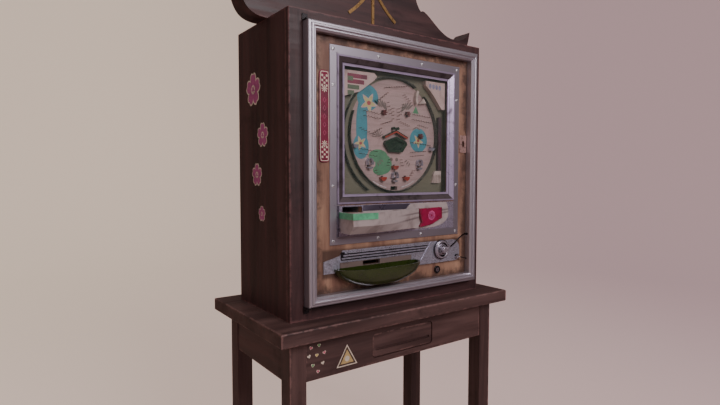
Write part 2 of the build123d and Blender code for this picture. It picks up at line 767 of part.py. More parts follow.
core_front = panel_front - 4.0
cam_thickness = 3.5
cam_back = surround_thickness + 1.0 + cam_thickness   # the cam swings down behind the surround
with BuildPart() as key_cylinder:
    with BuildSketch(facing(cam_back + 1)):
        with Locations((lock_x, lock_z)):
            Circle(lock_core)
    extrude(amount=cam_back + 1 - core_front)
    with BuildSketch(facing(core_front)):
        with Locations((lock_x, lock_z)):
            Rectangle(2, 9)
    extrude(amount=-10, mode=Mode.SUBTRACT)
    with BuildSketch(facing(cam_back)):
        with Locations((lock_x + 14, lock_z)):
            SlotOverall(44, 14)
    extrude(amount=cam_thickness)
save(key_cylinder, "key_cylinder")

# Small release lever at the plate's lower right corner
release_hub_back = panel_front - plate_thickness - running_gap
with BuildPart() as release_lever:
    with BuildSketch(facing(release_hub_back)):
        with Locations((release_x, release_z)):
            Circle(8.5)
    extrude(amount=8)
    fillet(release_lever.faces().sort_by(Axis.Y)[0].edges(), 2)
    with BuildSketch(facing(panel_back + 6)):
        with Locations((release_x, release_z)):
            Circle(release_shaft)
    extrude(amount=panel_back + 6 - release_hub_back)
    arm_start = (release_x + 2, front_y + release_hub_back - 5, release_z)
    arm_end = (release_x + 33, front_y + release_hub_back - 19, release_z - 9)
    with BuildLine():
        arm_line = Line(arm_start, arm_end)
    with BuildSketch(Plane(origin=arm_line @ 0, z_dir=arm_line % 0)):
        Circle(1.7)
    sweep(path=arm_line)
    with Locations(arm_end):
        Sphere(3.2)
save(release_lever, "release_lever")

# ------------------------------------------------------- window and tray doors
frame_play = 0.4


def window_outline(depth, margin):
    """Rectangle round the window at one depth, larger than it by a margin on every side."""
    with BuildSketch(facing(depth)) as outline:
        with Locations((unit_x, window_z)):
            Rectangle(window_width + 2 * margin, window_height + 2 * margin)
    return outline.sketch


with BuildPart() as glass_frame:
    with BuildSketch(facing(door_back)):
        with Locations((unit_x, window_z)):
            Rectangle(frame_width, frame_height - 2 * frame_play)
    extrude(amount=frame_edge_depth)
    chamfer(glass_frame.faces().sort_by(Axis.Y)[0].edges(), 1)
    extrude(window_outline(frame_back, frame_body), amount=frame_back - door_back)
    slope_outer = window_outline(frame_front, frame_bar - frame_lip)
    slope_inner = window_outline(glass_front - 2, frame_ring)
    loft([slope_outer, slope_inner], mode=Mode.SUBTRACT)
    extrude(window_outline(frame_back, 0), amount=frame_back - frame_front, mode=Mode.SUBTRACT)
    extrude(window_outline(frame_back, glass_rebate), amount=frame_back - glass_front,
            mode=Mode.SUBTRACT)
    for level, up in ((frame_top, -1), (frame_bottom, 1)):
        with BuildSketch(Plane.XY.offset(level)):
            with Locations((small_axis_x, front_y + small_axis_depth)):
                Circle(small_pin_radius + pin_clearance)
        extrude(amount=up * 8, mode=Mode.SUBTRACT)
save(glass_frame, "glass_frame")

with BuildPart() as window_glass:
    extrude(window_outline(glass_back, glass_rebate - 0.5), amount=glass_thickness)
save(window_glass, "window_glass")

tray_reach = 82.0
tray_flare = 4.0             # the tray's left end leans out by this
tray_left = frame_left + 9.0
tray_right = unit_x + 72.0
tray_rim_z = frame_bottom - 24.0
tray_low_z = tray_bottom + 12.0
tray_wall = 3.5
back_thickness = 2.5
back_right = unit_x + 226.0
bar_left = slot_x + slot_width / 2 + 4
bar_right = unit_x + 42
bar_low = tray_rim_z + 1
bar_high = slot_z + 13
tray_plate_top = frame_bottom - small_lug_height - frame_play
tray_plate_low = tray_bottom + frame_play
with BuildPart() as tray_plate:
    with BuildSketch(facing(door_back)):
        with Locations((unit_x, (tray_plate_top + tray_plate_low) / 2)):
            Rectangle(frame_width, tray_plate_top - tray_plate_low)
        with Locations((slot_x, slot_z)):
            Rectangle(slot_width, slot_height, mode=Mode.SUBTRACT)
    extrude(amount=tray_plate_thickness)
    with BuildSketch(facing(door_back)):
        with Locations((frame_left + 3, (tray_plate_top + tray_plate_low) / 2)):
            Rectangle(6, tray_plate_top - tray_plate_low)
    extrude(amount=frame_edge_depth)
    with BuildSketch(facing(tray_plate_front)):
        with BuildLine():
            Polyline((bar_left, bar_low), (bar_right - 20, bar_low), (bar_right, bar_high),
                     (bar_left, bar_high), (bar_left, bar_low))
        make_face()
    extrude(amount=3)
    for level, up in ((tray_plate_top, -1), (tray_plate_low, 1)):
        with BuildSketch(Plane.XY.offset(level)):
            with Locations((small_axis_x, front_y + small_axis_depth)):
                Circle(small_pin_radius + pin_clearance)
        extrude(amount=up * 7.5, mode=Mode.SUBTRACT)
save(tray_plate, "tray_plate")

# Upper tray: a wedge in plan that funnels balls from the slot towards the shooter


def tray_outline(level, inset, reach):
    """Plan of the upper tray at one height, shrunk by inset, its long side on the plate."""
    y_plate = front_y + tray_plate_front
    y_reach = y_plate - reach + inset
    with BuildSketch(Plane.XY.offset(level)) as outline:
        with BuildLine():
            Polyline((tray_left + inset, y_plate - inset), (tray_left - tray_flare + inset, y_reach),
                     (tray_left + 96, y_reach), (tray_right - inset, y_plate - 15 + inset * 0.4),
                     (tray_right - inset, y_plate - inset), (tray_left + inset, y_plate - inset))
        make_face()
    return outline.sketch


with BuildPart() as upper_tray:
    extrude(tray_outline(tray_rim_z - 40, 0, tray_reach), amount=40)
    loft([tray_outline(tray_rim_z - 40, 0, tray_reach), tray_outline(tray_low_z, 2, tray_reach - 22)])
    extrude(tray_outline(tray_rim_z - 20, tray_wall, tray_reach), amount=20, mode=Mode.SUBTRACT)
    with BuildSketch(facing(tray_plate_front)):
        with Locations((slot_x, tray_rim_z)):
            Rectangle(slot_width, 2 * (tray_rim_z - slot_z + slot_height / 2))
    extrude(amount=tray_wall, mode=Mode.SUBTRACT)
    with BuildSketch(facing(tray_plate_front)):
        with BuildLine():
            Line((bar_right - 17, bar_low), (bar_right + 3, bar_high))
            Line((bar_right + 3, bar_high), (back_right - 14, bar_high))
            ThreePointArc((back_right - 14, bar_high), (back_right - 4, bar_high - 4),
                          (back_right, bar_high - 14))
            Spline((back_right, bar_high - 14), (back_right - 4, tray_rim_z - 44),
                   (back_right - 60, tray_low_z - 2), (tray_right - 10, tray_low_z - 6))
            Line((tray_right - 10, tray_low_z - 6), (bar_right - 17, bar_low))
        make_face()
    extrude(amount=back_thickness)
save(upper_tray, "upper_tray")

# Mint band round the left end of the tray's rim
trim_height = 20.0
trim_thickness = 1.8
trim_right = tray_left + 90.0
with BuildPart() as tray_trim:
    with BuildSketch(Plane.XY.offset(tray_rim_z - trim_height)):
        y_plate = front_y + tray_plate_front
        y_reach = y_plate - tray_reach - trim_thickness
        with BuildLine():
            Polyline((tray_left - trim_thickness, y_plate),
                     (tray_left - tray_flare - trim_thickness, y_reach), (trim_right, y_reach),
                     (trim_right, y_plate), (tray_left - trim_thickness, y_plate))
        make_face()
    extrude(amount=trim_height)
    extrude(tray_outline(tray_rim_z - trim_height, 0, tray_reach), amount=trim_height, mode=Mode.SUBTRACT)
save(tray_trim, "tray_trim")

# Crimson cover over the feed into the shooter
with BuildPart() as feed_cover:
    with BuildSketch(facing(tray_plate_front - back_thickness)):
        with BuildLine():
            cover_left = tray_right + 4
            cover_right = cover_left + 112
            cover_top = tray_rim_z
            FilletPolyline((cover_left, cover_top), (cover_right, cover_top + 2),
                           (cover_right, cover_top - 38), (cover_left + 62, cover_top - 58),
                           (cover_left + 4, cover_top - 67), (cover_left + 16, cover_top - 48),
                           (cover_left + 8, cover_top - 30), close=True, radius=3)
        make_face()
    extrude(amount=12)
    chamfer(feed_cover.faces().sort_by(Axis.Y)[0].edges(), 2)
save(feed_cover, "feed_cover")

# ------------------------------------------------------------------ playfield
spacer_inner_width = window_width + 2 * panel_opening_lip
spacer_inner_height = window_height + 2 * panel_opening_lip
board_width = window_width + 2 * board_margin
board_height = window_height + 2 * board_margin
with BuildPart() as board_spacer:
    with BuildSketch(facing(board_front)):
        with Locations((unit_x, window_z)):
            Rectangle(board_width, board_height)
            Rectangle(spacer_inner_width, spacer_inner_height, mode=Mode.SUBTRACT)
    extrude(amount=board_front - panel_back)
save(board_spacer, "board_spacer")

drain_z = -rail_radius + 9
drain_width = 30.0
drain_height = 13.0
red_pockets = [(-54, -146), (50, -145), (-1, -107)]
tulip_places = {"left": (-111, -106), "right": (113, -107), "centre": (-1, -151)}
side_catchers = [(-rail_radius + 20, -38), (rail_radius - 20, -38)]
pocket_hole = 6.5
with BuildPart() as playfield_board:
    with BuildSketch(facing(board_back)):
        with Locations((unit_x, window_z)):
            Rectangle(board_width, board_height)
        with Locations(at(0, drain_z)):
            Rectangle(drain_width, drain_height, mode=Mode.SUBTRACT)
        for place in red_pockets + list(tulip_places.values()) + side_catchers:
            with Locations(at(*place)):
                Circle(pocket_hole, mode=Mode.SUBTRACT)
    extrude(amount=board_thickness)
save(playfield_board, "playfield_board")

with BuildPart() as guide_rails:
    with BuildSketch(facing(board_front)):
        with BuildLine():
            CenterArc(at(0, 0), rail_radius + rail_thickness / 2, 158, 250)
        trace(line_width=rail_thickness)
    extrude(amount=rail_height)
    with BuildSketch(facing(board_front)):
        with BuildLine():
            ThreePointArc(around(238, rail_radius + 29), around(185, rail_radius + 28),
                          around(128, rail_radius + 15))
            ThreePointArc(around(128, rail_radius + 15), around(92, rail_radius + 5),
                          around(62, rail_radius + 3))
        trace(line_width=rail_thickness)
    extrude(amount=rail_height)
save(guide_rails, "guide_rails")

with BuildPart() as rail_fittings:
    with BuildSketch(facing(board_front)):
        with BuildLine():
            ThreePointArc(around(58, rail_radius - 2), around(56, rail_radius - 26),
                          around(50, rail_radius - 42))
        trace(line_width=9)
    extrude(amount=rail_height)
    with BuildSketch(facing(board_front)):
        with BuildLine():
            Polyline(around(47, rail_radius - 4), around(47, rail_radius - 34),
                     around(41, rail_radius - 6), around(47, rail_radius - 4))
        make_face()
    extrude(amount=rail_height - 3)
    comb_x = rail_radius - 2
    with BuildSketch(facing(board_front)):
        with BuildLine():
            Polyline(at(comb_x, -122), at(comb_x + 30, -122), at(comb_x + 30, -134),
                     at(comb_x + 24, -166), at(comb_x - 14, -166), at(comb_x - 8, -134),
                     at(comb_x, -122))
        make_face()
    extrude(amount=9)
    with BuildSketch(facing(board_front - 9)):
        for tooth in range(5):
            with Locations(at(comb_x - 8 + tooth * 8, -150)):
                Rectangle(3, 28)
    extrude(amount=3)
save(rail_fittings, "rail_fittings")

column_x = rail_radius + 18
with BuildPart() as launch_column:
    with BuildSketch(facing(board_front)):
        with Locations(at(column_x, -22)):
            RectangleRounded(15, 196, 3)
    extrude(amount=11)
    with BuildSketch(facing(board_front - 11)):
        with Locations(at(column_x, -22)):
            Rectangle(11, 14)
    extrude(amount=2)
save(launch_column, "launch_column")

card_left_edge = -window_width / 2 - 2
card_right_edge = window_width / 2 + 2
card_left = [at(card_left_edge, 198), at(-100, 200), at(-88, 189), at(-100, 176), at(-160, 134),
             at(card_left_edge, 112)]
card_right = [at(card_right_edge, 201), at(132, 201), at(132, 186), at(172, 150),
              at(card_right_edge - 18, 104), at(card_right_edge, 104)]
card_block = rail_height + running_gap
with BuildPart() as corner_cards:
    with BuildSketch(facing(board_front)):
        for corner in (card_left, card_right):
            with BuildLine():
                Polyline(*corner, close=True)
            make_face()
        with Locations(at(0, 0)):
            Circle(rail_radius + 33, mode=Mode.SUBTRACT)
    extrude(amount=card_block)
    with BuildSketch(facing(board_front - card_block)):
        for corner in (card_left, card_right):
            with BuildLine():
                FilletPolyline(*corner, close=True, radius=4)
            make_face()
    extrude(amount=3)
save(corner_cards, "corner_cards")

centre_height = 13.5
with BuildPart() as centrepiece:
    with BuildSketch(facing(board_front)):
        with BuildLine():
            FilletPolyline(at(0, -4), at(45, -20), at(50, -30), at(28, -58), at(-28, -58),
                           at(-50, -30), at(-45, -20), close=True, radius=3)
        make_face()
    extrude(amount=centre_height)
    with BuildSketch(facing(board_front - centre_height)):
        with BuildLine():
            FilletPolyline(at(0, -12), at(34, -26), at(18, -51), at(-18, -51), at(-34, -26),
                           close=True, radius=3)
        make_face()
    extrude(amount=-9, mode=Mode.SUBTRACT)
    with BuildSketch(facing(board_front)):
        with BuildLine():
            Polyline(at(-52, -8), at(0, 14), at(52, -8))
        trace(line_width=8)
        with Locations(at(-9, 24), at(9, 24)):
            Circle(5)
    extrude(amount=13)
save(centrepiece, "centrepiece")


def cup_wall(place, radius, open_up):
    """Half ring of a cup that is open at its top."""
    with BuildSketch(facing(board_front)) as wall:
        with Locations(at(*place)):
            Circle(radius)
            Circle(radius - 2, mode=Mode.SUBTRACT)
        with Locations(at(place[0], place[1] + radius + open_up)):
            Rectangle(2 * radius + 2, 2 * radius, mode=Mode.SUBTRACT)
    return wall.sketch


def cup_face(place, radius, height, open_up):
    """Front of a cup, cut a little lower than its wall."""
    with BuildSketch(facing(board_front - height)) as face:
        with Locations(at(*place)):
            Circle(radius)
        with Locations(at(place[0], place[1] + radius + open_up)):
            Rectangle(2 * radius + 2, 2 * radius, mode=Mode.SUBTRACT)
    return face.sketch


pocket_radius = 12.0
pocket_height = 11.5
with BuildPart() as pockets:
    for place in red_pockets:
        extrude(cup_wall(place, pocket_radius, 2), amount=pocket_height)
        extrude(cup_face(place, pocket_radius, pocket_height, 2), amount=2)
save(pockets, "pockets")

tulip_radius = 11.0
tulip_height = 12.0
catcher_radius = 11.0
petal_pivot_x = 10.0
petal_pivot_z = 6.0
petal_pin = 1.2
with BuildPart() as tulip_cups:
    for place in tulip_places.values():
        extrude(cup_wall(place, tulip_radius, -4), amount=tulip_height)
        extrude(cup_face(place, tulip_radius, tulip_height, -4), amount=2)
        with BuildSketch(facing(board_front)):
            with Locations(at(place[0] - petal_pivot_x, place[1] + petal_pivot_z),
                           at(place[0] + petal_pivot_x, place[1] + petal_pivot_z)):
                Circle(petal_pin)
        extrude(amount=rail_height)
    for place in side_catchers:
        extrude(cup_wall(place, catcher_radius, 1), amount=tulip_height)
        extrude(cup_face(place, catcher_radius, tulip_height, 1), amount=2)
save(tulip_cups, "tulip_cups")


def petal(place, side):
    """One tulip petal: a curved blade on a hub that turns on the cup's pin."""
    with BuildPart() as blade:
        with BuildSketch(facing(board_front - 1)):
            pivot = at(place[0] + side * petal_pivot_x, place[1] + petal_pivot_z)
            base = (pivot[0] - side * 0.5, pivot[1] + 1.5)
            middle = (pivot[0] + side * 1.0, pivot[1] + 10)
            end = (pivot[0] - side * 7.0, pivot[1] + 18.5)
            with BuildLine():
                ThreePointArc(base, middle, end)
            trace(line_width=2.4)
            with Locations(pivot):
                Circle(3.2)
            with Locations(pivot):
                Circle(petal_pin + pin_clearance, mode=Mode.SUBTRACT)
        extrude(amount=13)
    return blade


for tulip_name, tulip_place in tulip_places.items():
    for side_name, side_sign in (("left", -1), ("right", 1)):
        save(petal(tulip_place, side_sign), f"petal_{tulip_name}_{side_name}")

# Pinwheels that spin on nails
spinner_places = {"upper_left": (-50, 75), "upper_right": (56, 77), "right": (118, 2)}
spinner_radius = 10.0
spinner_pin = 1.0


def spinner(place):
    """Pinwheel with curved vanes round a hub, free to turn on its nail."""
    with BuildPart() as wheel:
        with BuildSketch(facing(board_front - 2)):
            with Locations(at(*place)):
                with PolarLocations(spinner_radius * 0.55, 6):
                    Rectangle(spinner_radius * 0.9, 3.2, rotation=24)
                Circle(4)
                Circle(spinner_pin + pin_clearance, mode=Mode.SUBTRACT)
        extrude(amount=11)
    return wheel


for spinner_name, spinner_place in spinner_places.items():
    save(spinner(spinner_place), f"spinner_{spinner_name}")

# Brass nails: short rows that steer the balls, and the pinwheels' own axles
nail_radius = 0.9


def nail_row(start, step, count):
    """Evenly spaced nails from a first place, given from the playfield centre."""
    return [(start[0] + step[0] * n, start[1] + step[1] * n) for n in range(count)]


nail_places = []
nail_places += nail_row((-44, 160), (11, 1.5), 9)
nail_places += nail_row((-70, 118), (8, 6), 5)
nail_places += nail_row((70, 118), (-8, 6), 5)
nail_places += nail_row((-34, 110), (4, -12), 4)
nail_places += nail_row((34, 110), (-4, -12), 4)
nail_places += nail_row((-12, 92), (0, -12), 4)
nail_places += nail_row((12, 92), (0, -12), 4)
nail_places += nail_row((-60, 36), (10, 3), 5)
nail_places += nail_row((60, 36), (-10, 3), 5)
nail_places += nail_row((-132, 76), (12, -1.5), 6)
nail_places += nail_row((-132, 60), (12, -1.5), 6)
nail_places += nail_row((84, 78), (12, -1), 7)
nail_places += nail_row((80, 60), (12, -1), 8)
nail_places += nail_row((108, 42), (10, -2), 5)
nail_places += nail_row((-150, 18), (11, -4), 6)
nail_places += nail_row((76, -22), (12, -1), 8)
nail_places += nail_row((-92, 6), (9, 5), 4)
nail_places += nail_row((-72, -6), (9, -5), 2)
nail_places += nail_row((-150, -50), (13, -1.5), 6)
nail_places += nail_row((-150, -66), (13, -1.5), 6)
nail_places += nail_row((74, -56), (13, 1), 6)
nail_places += nail_row((74, -70), (13, 1), 5)
nail_places += nail_row((-86, -122), (6, -8), 3)
nail_places += nail_row((84, -122), (-6, -8), 3)
nail_places += nail_row((-26, -84), (-3, -10), 3)
nail_places += nail_row((26, -84), (3, -10), 3)
with BuildPart() as nails:
    with BuildSketch(facing(board_front)):
        for place in nail_places:
            with Locations(at(*place)):
                Circle(nail_radius)
    extrude(amount=rail_height)
    with BuildSketch(facing(board_front)):
        for place in spinner_places.values():
            with Locations(at(*place)):
                Circle(spinner_pin)
    extrude(amount=rail_height)
save(nails, "nails")

# --------------------------------------------------- ball works behind the board
tank_half = window_width / 2 + 2
tank_reach = 90.0
tank_low = window_bottom + window_height - 22.0
tank_high = tank_low + 66.0
chute_x = unit_x - tank_half + 36.0
chute_width = 30.0
sheet = 3.0
works_front = front_y + board_back

with BuildPart() as ball_tank:
    with BuildSketch(Plane.XY.offset(tank_low)):
        with Locations((unit_x, works_front + tank_reach / 2)):
            Rectangle(2 * tank_half, tank_reach)
    extrude(amount=tank_high - tank_low)
    with BuildSketch(Plane.XY.offset(tank_low + sheet)):
        with Locations((unit_x, works_front + tank_reach / 2)):
            Rectangle(2 * (tank_half - sheet), tank_reach - 2 * sheet)
    extrude(amount=tank_high - tank_low, mode=Mode.SUBTRACT)
    with BuildSketch(Plane.XY.offset(tank_low)):
        with Locations((chute_x, works_front + chute_width / 2)):
            Rectangle(chute_width - 2 * sheet, chute_width - 2 * sheet)
    extrude(amount=sheet, mode=Mode.SUBTRACT)
save(ball_tank, "ball_tank")

payout_low = slot_z - 26.0
payout_high = window_bottom - board_margin - 2.0
payout_reach = 74.0
payout_width = slot_width + 24.0
with BuildPart() as feed_chute:
    with BuildSketch(Plane.XY.offset(payout_high)):
        with Locations((chute_x, works_front + chute_width / 2)):
            Rectangle(chute_width, chute_width)
            Rectangle(chute_width - 2 * sheet, chute_width - 2 * sheet, mode=Mode.SUBTRACT)
    extrude(amount=tank_low - payout_high)
save(feed_chute, "feed_chute")

with BuildPart() as payout_unit:
    with BuildSketch(Plane.XY.offset(payout_low)):
        with Locations((slot_x, front_y + panel_back + payout_reach / 2)):
            Rectangle(payout_width, payout_reach)
    extrude(amount=payout_high - payout_low)
    with BuildSketch(facing(panel_back)):
        with Locations((slot_x, slot_z)):
            Rectangle(slot_width, slot_height)
    extrude(amount=-(payout_reach - 2 * sheet), mode=Mode.SUBTRACT)
    with BuildSketch(Plane.XY.offset(payout_high)):
        with Locations((chute_x, works_front + chute_width / 2)):
            Rectangle(chute_width - 2 * sheet, chute_width - 2 * sheet)
    extrude(amount=-(payout_high - slot_z), mode=Mode.SUBTRACT)
save(payout_unit, "payout_unit")

drain_left = slot_x + payout_width / 2 + 10.0
drain_right = unit_x + board_width / 2 - 30.0
drain_low = window_bottom - board_margin - 48.0
drain_high = window_bottom - board_margin + 30.0
drain_reach = 62.0
with BuildPart() as drain_chute:
    with BuildSketch(facing(board_back + drain_reach)):
        with BuildLine():
            Polyline((drain_left, drain_high), (drain_left, drain_low), (drain_right, drain_low + 22),
                     (drain_right, drain_high), (drain_left, drain_high))
        make_face()
    extrude(amount=drain_reach)
    with BuildSketch(facing(board_back + drain_reach - sheet)):
        with BuildLine():
            Polyline((drain_left + sheet, drain_high + 1), (drain_left + sheet, drain_low + sheet),
                     (drain_right - sheet, drain_low + 22 + sheet), (drain_right - sheet, drain_high + 1),
                     (drain_left + sheet, drain_high + 1))
        make_face()
    extrude(amount=drain_reach - 2 * sheet, mode=Mode.SUBTRACT)
    with BuildSketch(Plane.XY.offset(drain_low)):
        with Locations((drain_left + 34, front_y + board_back + drain_reach / 2)):
            Rectangle(30, 30)
    extrude(amount=20, mode=Mode.SUBTRACT)
save(drain_chute, "drain_chute")
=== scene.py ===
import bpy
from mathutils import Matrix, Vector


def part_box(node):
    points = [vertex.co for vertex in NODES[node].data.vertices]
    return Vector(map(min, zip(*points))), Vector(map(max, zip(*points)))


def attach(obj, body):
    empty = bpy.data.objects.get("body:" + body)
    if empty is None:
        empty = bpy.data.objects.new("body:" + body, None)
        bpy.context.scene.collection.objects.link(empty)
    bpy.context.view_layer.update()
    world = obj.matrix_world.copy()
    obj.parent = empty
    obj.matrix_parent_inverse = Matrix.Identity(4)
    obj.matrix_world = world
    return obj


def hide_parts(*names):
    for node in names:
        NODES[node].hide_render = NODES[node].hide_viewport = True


bl_info = {
    "name": "Pachinko Machine Builder",
    "version": (1, 0, 0),
    "blender": (4, 5, 0),
    "location": "View3D > Sidebar > Pachinko",
    "description": "Dresses a pachinko machine: woodwork, metalwork, playfield print, nails and stage",
    "category": "Object",
}

from math import atan2, cos, exp, pi, radians, sin

import bmesh
import bpy
from bpy.props import FloatProperty, FloatVectorProperty, PointerProperty
from mathutils import Matrix, Vector

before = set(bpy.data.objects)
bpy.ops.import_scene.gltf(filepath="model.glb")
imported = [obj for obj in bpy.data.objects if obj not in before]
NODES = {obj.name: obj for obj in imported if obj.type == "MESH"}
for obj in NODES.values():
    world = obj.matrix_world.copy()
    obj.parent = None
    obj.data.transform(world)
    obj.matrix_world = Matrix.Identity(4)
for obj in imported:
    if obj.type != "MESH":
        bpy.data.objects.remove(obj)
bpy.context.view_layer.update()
MM = 0.001
PRINT_RADIUS = 192 * MM
SCREW_RADIUS, SCREW_FLATNESS = 4.2 * MM, 0.57
NAIL_FLATNESS = 0.45
FLOOR_RADIUS, FLOOR_CURVE, CURVE_STEPS, WALL_TOP = 5.0, 2.0, 8, 9.0
CAMERA_PLACE = (-1.1131, -1.5102, 1.1634)
CAMERA_TURN = (radians(90 - 2.9926), radians(-0.05), radians(-35.7466))
CAMERA_SENSOR = 36.0


def linear(red, green, blue):
    """Linear colour for the screen values 0 to 255."""
    return tuple(
        v / 12.92 if v <= 0.04045 else ((v + 0.055) / 1.055) ** 2.4
        for v in (red / 255, green / 255, blue / 255)
    )


def middle(node):
    """Centre of a CAD node's box."""
    low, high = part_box(node)
    return (low + high) / 2


def half_size(node):
    """Half of a CAD node's box."""
    low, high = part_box(node)
    return (high - low) / 2


# ------------------------------------------------------------------ settings
def colour(name, description, value):
    return FloatVectorProperty(
        name=name, description=description, default=value, subtype="COLOR", min=0.0, max=1.0
    )


def length(name, description, value):
    return FloatProperty(
        name=name, description=description, default=value, min=0.0, unit="LENGTH", precision=5
    )


class WoodSettings(bpy.types.PropertyGroup):
    cabinet_light: colour("Cabinet light", "Pale streaks in the cabinet's grain", linear(90, 58, 57))
    cabinet_dark: colour("Cabinet dark", "Dark streaks in the cabinet's grain", linear(54, 33, 34))
    stand_light: colour("Stand light", "Pale streaks in the stand's grain", linear(104, 76, 72))
    stand_dark: colour("Stand dark", "Dark streaks in the stand's grain", linear(66, 45, 43))
    panel_light: colour("Panel light", "Pale veneer on the door", linear(186, 146, 120))
    # panel_dark, darkened further, also gives the painted shade along the door's rim and lower plate.
    panel_dark: colour("Panel dark", "Dark veneer and grime on the door", linear(120, 84, 70))
    bare_light: colour("Bare ply light", "Unfinished ply behind the playfield", linear(178, 148, 112))
    bare_dark: colour("Bare ply dark", "Grain of the unfinished ply", linear(128, 98, 70))


class PrintSettings(bpy.types.PropertyGroup):
    ground: colour("Ground", "Playfield inside the ball rail", linear(192, 162, 160))
    surround: colour("Surround", "Playfield outside the ball rail", linear(122, 116, 98))
    teal: colour("Teal", "Round and long patches of the print", linear(84, 152, 166))
    green: colour("Green", "Fan and hills of the print", linear(96, 152, 114))
    star: colour("Star", "Bodies of the stars", linear(208, 198, 140))
    star_edge: colour("Star edge", "Outline of the stars", linear(214, 180, 176))
    blossom: colour("Blossom", "Petals of the stickers", linear(190, 86, 146))
    sticker_edge: colour("Sticker edge", "Pale border of the stickers", linear(232, 216, 196))


class HardwareSettings(bpy.types.PropertyGroup):
    nail_radius: length("Nail", "Radius of a nail's shank", 0.9 * MM)
    nail_head: length("Nail head", "Radius of a nail's head", 1.7 * MM)
    screw_slot: length("Screw slot", "Width of the slot in a bezel screw", 0.9 * MM)
    print_thickness: length("Print", "Thickness of one printed layer", 0.12 * MM)


class StageSettings(bpy.types.PropertyGroup):
    key_power: FloatProperty(
        name="Key power", description="Large light in front of the machine", default=120.0, min=0.0,
        unit="POWER",
    )
    fill_power: FloatProperty(
        name="Fill power", description="Soft light from the left", default=18.0, min=0.0, unit="POWER"
    )
    floor_left: colour("Backdrop left", "Backdrop colour at the left", linear(214, 194, 176))
    floor_right: colour("Backdrop right", "Backdrop colour at the right", linear(168, 142, 144))
    glow: FloatProperty(name="Glow", description="How much the backdrop lights itself", default=0.95, min=0.0)
    lens: FloatProperty(
        name="Lens", description="Focal length of the camera", default=25.063, min=1.0, unit="CAMERA"
    )


# -------------------------------------------------------------- node helpers
class Shade:
    """Short ways to place and link nodes in one shader tree."""

    def __init__(self, tree):
        self.tree = tree

    def node(self, kind, inputs=None, **settings):
        made = self.tree.nodes.new(kind)
        for name, value in settings.items():
            setattr(made, name, value)
        for key, value in (inputs or {}).items():
            if isinstance(value, bpy.types.NodeSocket):
                self.tree.links.new(value, made.inputs[key])
            else:
                made.inputs[key].default_value = value
        return made

    def math(self, operation, first, second=0.0, clamp=False):
        made = self.node("ShaderNodeMath", {0: first, 1: second}, operation=operation, use_clamp=clamp)
        return made.outputs[0]

    def add(self, first, second, clamp=False):
        return self.math("ADD", first, second, clamp)

    def less(self, first, second, clamp=False):
        return self.math("SUBTRACT", first, second, clamp)

    def times(self, first, second):
        return self.math("MULTIPLY", first, second)

    def over(self, first, second):
        return self.math("DIVIDE", first, second)

    def most(self, first, second):
        return self.math("MAXIMUM", first, second)

    def least(self, first, second):
        return self.math("MINIMUM", first, second)

    def apart(self, first, second):
        return self.math("ABSOLUTE", self.less(first, second))

    def radius(self, across, up):
        return self.math("SQRT", self.add(self.times(across, across), self.times(up, up)))

    def inset(self, across, up, node):
        """Distances inward from the sides, and from the top and bottom, of a node's box."""
        centre, half = middle(node), half_size(node)
        return self.less(half.x, self.apart(across, centre.x)), self.less(half.z, self.apart(up, centre.z))

    def aged(self, position, base, stain, size, amount):
        colours = {"Base": opaque(base), "Stain": opaque(stain)}
        return self.group("aged_metal", {"Position": position, **colours, "Size": size, "Amount": amount})

    def skin(self, position, base, worn, size):
        colours = {"Base": opaque(base), "Worn": opaque(worn)}
        return self.group("moulded", {"Position": position, **colours, "Size": size})

    def grain(self, position, light, dark):
        colours = {"Light": opaque(light), "Dark": opaque(dark)}
        return self.group("wood_grain", {"Position": position, **colours, "Fineness": 1.0})

    def dirt(self, position, size, amount):
        return self.group("grime", {"Position": position, "Size": size, "Amount": amount})["Mask"]

    def vector(self, operation, first, second=(0, 0, 0)):
        made = self.node("ShaderNodeVectorMath", {0: first, 1: second}, operation=operation)
        return made.outputs[0]

    def mix(self, share, first, second, blend="MIX"):
        made = self.node("ShaderNodeMix", {0: share, 6: first, 7: second}, data_type="RGBA", blend_type=blend)
        return made.outputs[2]

    def noise(self, position, scale, detail=4.0, rough=0.55, twist=0.0):
        made = self.node(
            "ShaderNodeTexNoise",
            {"Vector": position, "Scale": scale, "Detail": detail, "Roughness": rough, "Distortion": twist},
        )
        return made.outputs[0]

    def band(self, value, low, high, out_low=0.0, out_high=1.0):
        made = self.node(
            "ShaderNodeMapRange",
            {0: value, 1: low, 2: high, 3: out_low, 4: out_high},
            interpolation_type="SMOOTHSTEP",
        )
        return made.outputs[0]

    def group(self, name, inputs):
        return self.node("ShaderNodeGroup", inputs, node_tree=EFFECTS[name]()).outputs

    def stretched(self, position, scale, shift=(0, 0, 0)):
        return self.node(
            "ShaderNodeMapping", {"Vector": position, "Scale": scale, "Location": shift}
        ).outputs[0]

    def split(self, position):
        made = self.node("ShaderNodeSeparateXYZ", {0: position})
        return made.outputs[0], made.outputs[1], made.outputs[2]


def opaque(value):
    """Four numbers for a colour socket."""
    return (*value[:3], 1.0)


def dim(tint, share):
    """A darker version of a colour."""
    return tuple(v * share for v in tint[:3])


def effect(name, inputs, outputs):
    """Turns a function that wires one effect into a shader node group, built once."""

    def wrap(wire):
        def make():
            found = bpy.data.node_groups.get(name)
            if found:
                return found
            tree = bpy.data.node_groups.new(name, "ShaderNodeTree")
            for label, kind, value in inputs:
                socket = tree.interface.new_socket(label, in_out="INPUT", socket_type=kind)
                if value is not None:
                    socket.default_value = value
            for label, kind in outputs:
                tree.interface.new_socket(label, in_out="OUTPUT", socket_type=kind)
            shade = Shade(tree)
            source = tree.nodes.new("NodeGroupInput")
            sink = tree.nodes.new("NodeGroupOutput")
            for label, socket in wire(shade, source.outputs).items():
                tree.links.new(socket, sink.inputs[label])
            return tree

        EFFECTS[name] = make
        return make

    return wrap


EFFECTS = {}
NUMBER, VECTOR, COLOUR = "NodeSocketFloat", "NodeSocketVector", "NodeSocketColor"


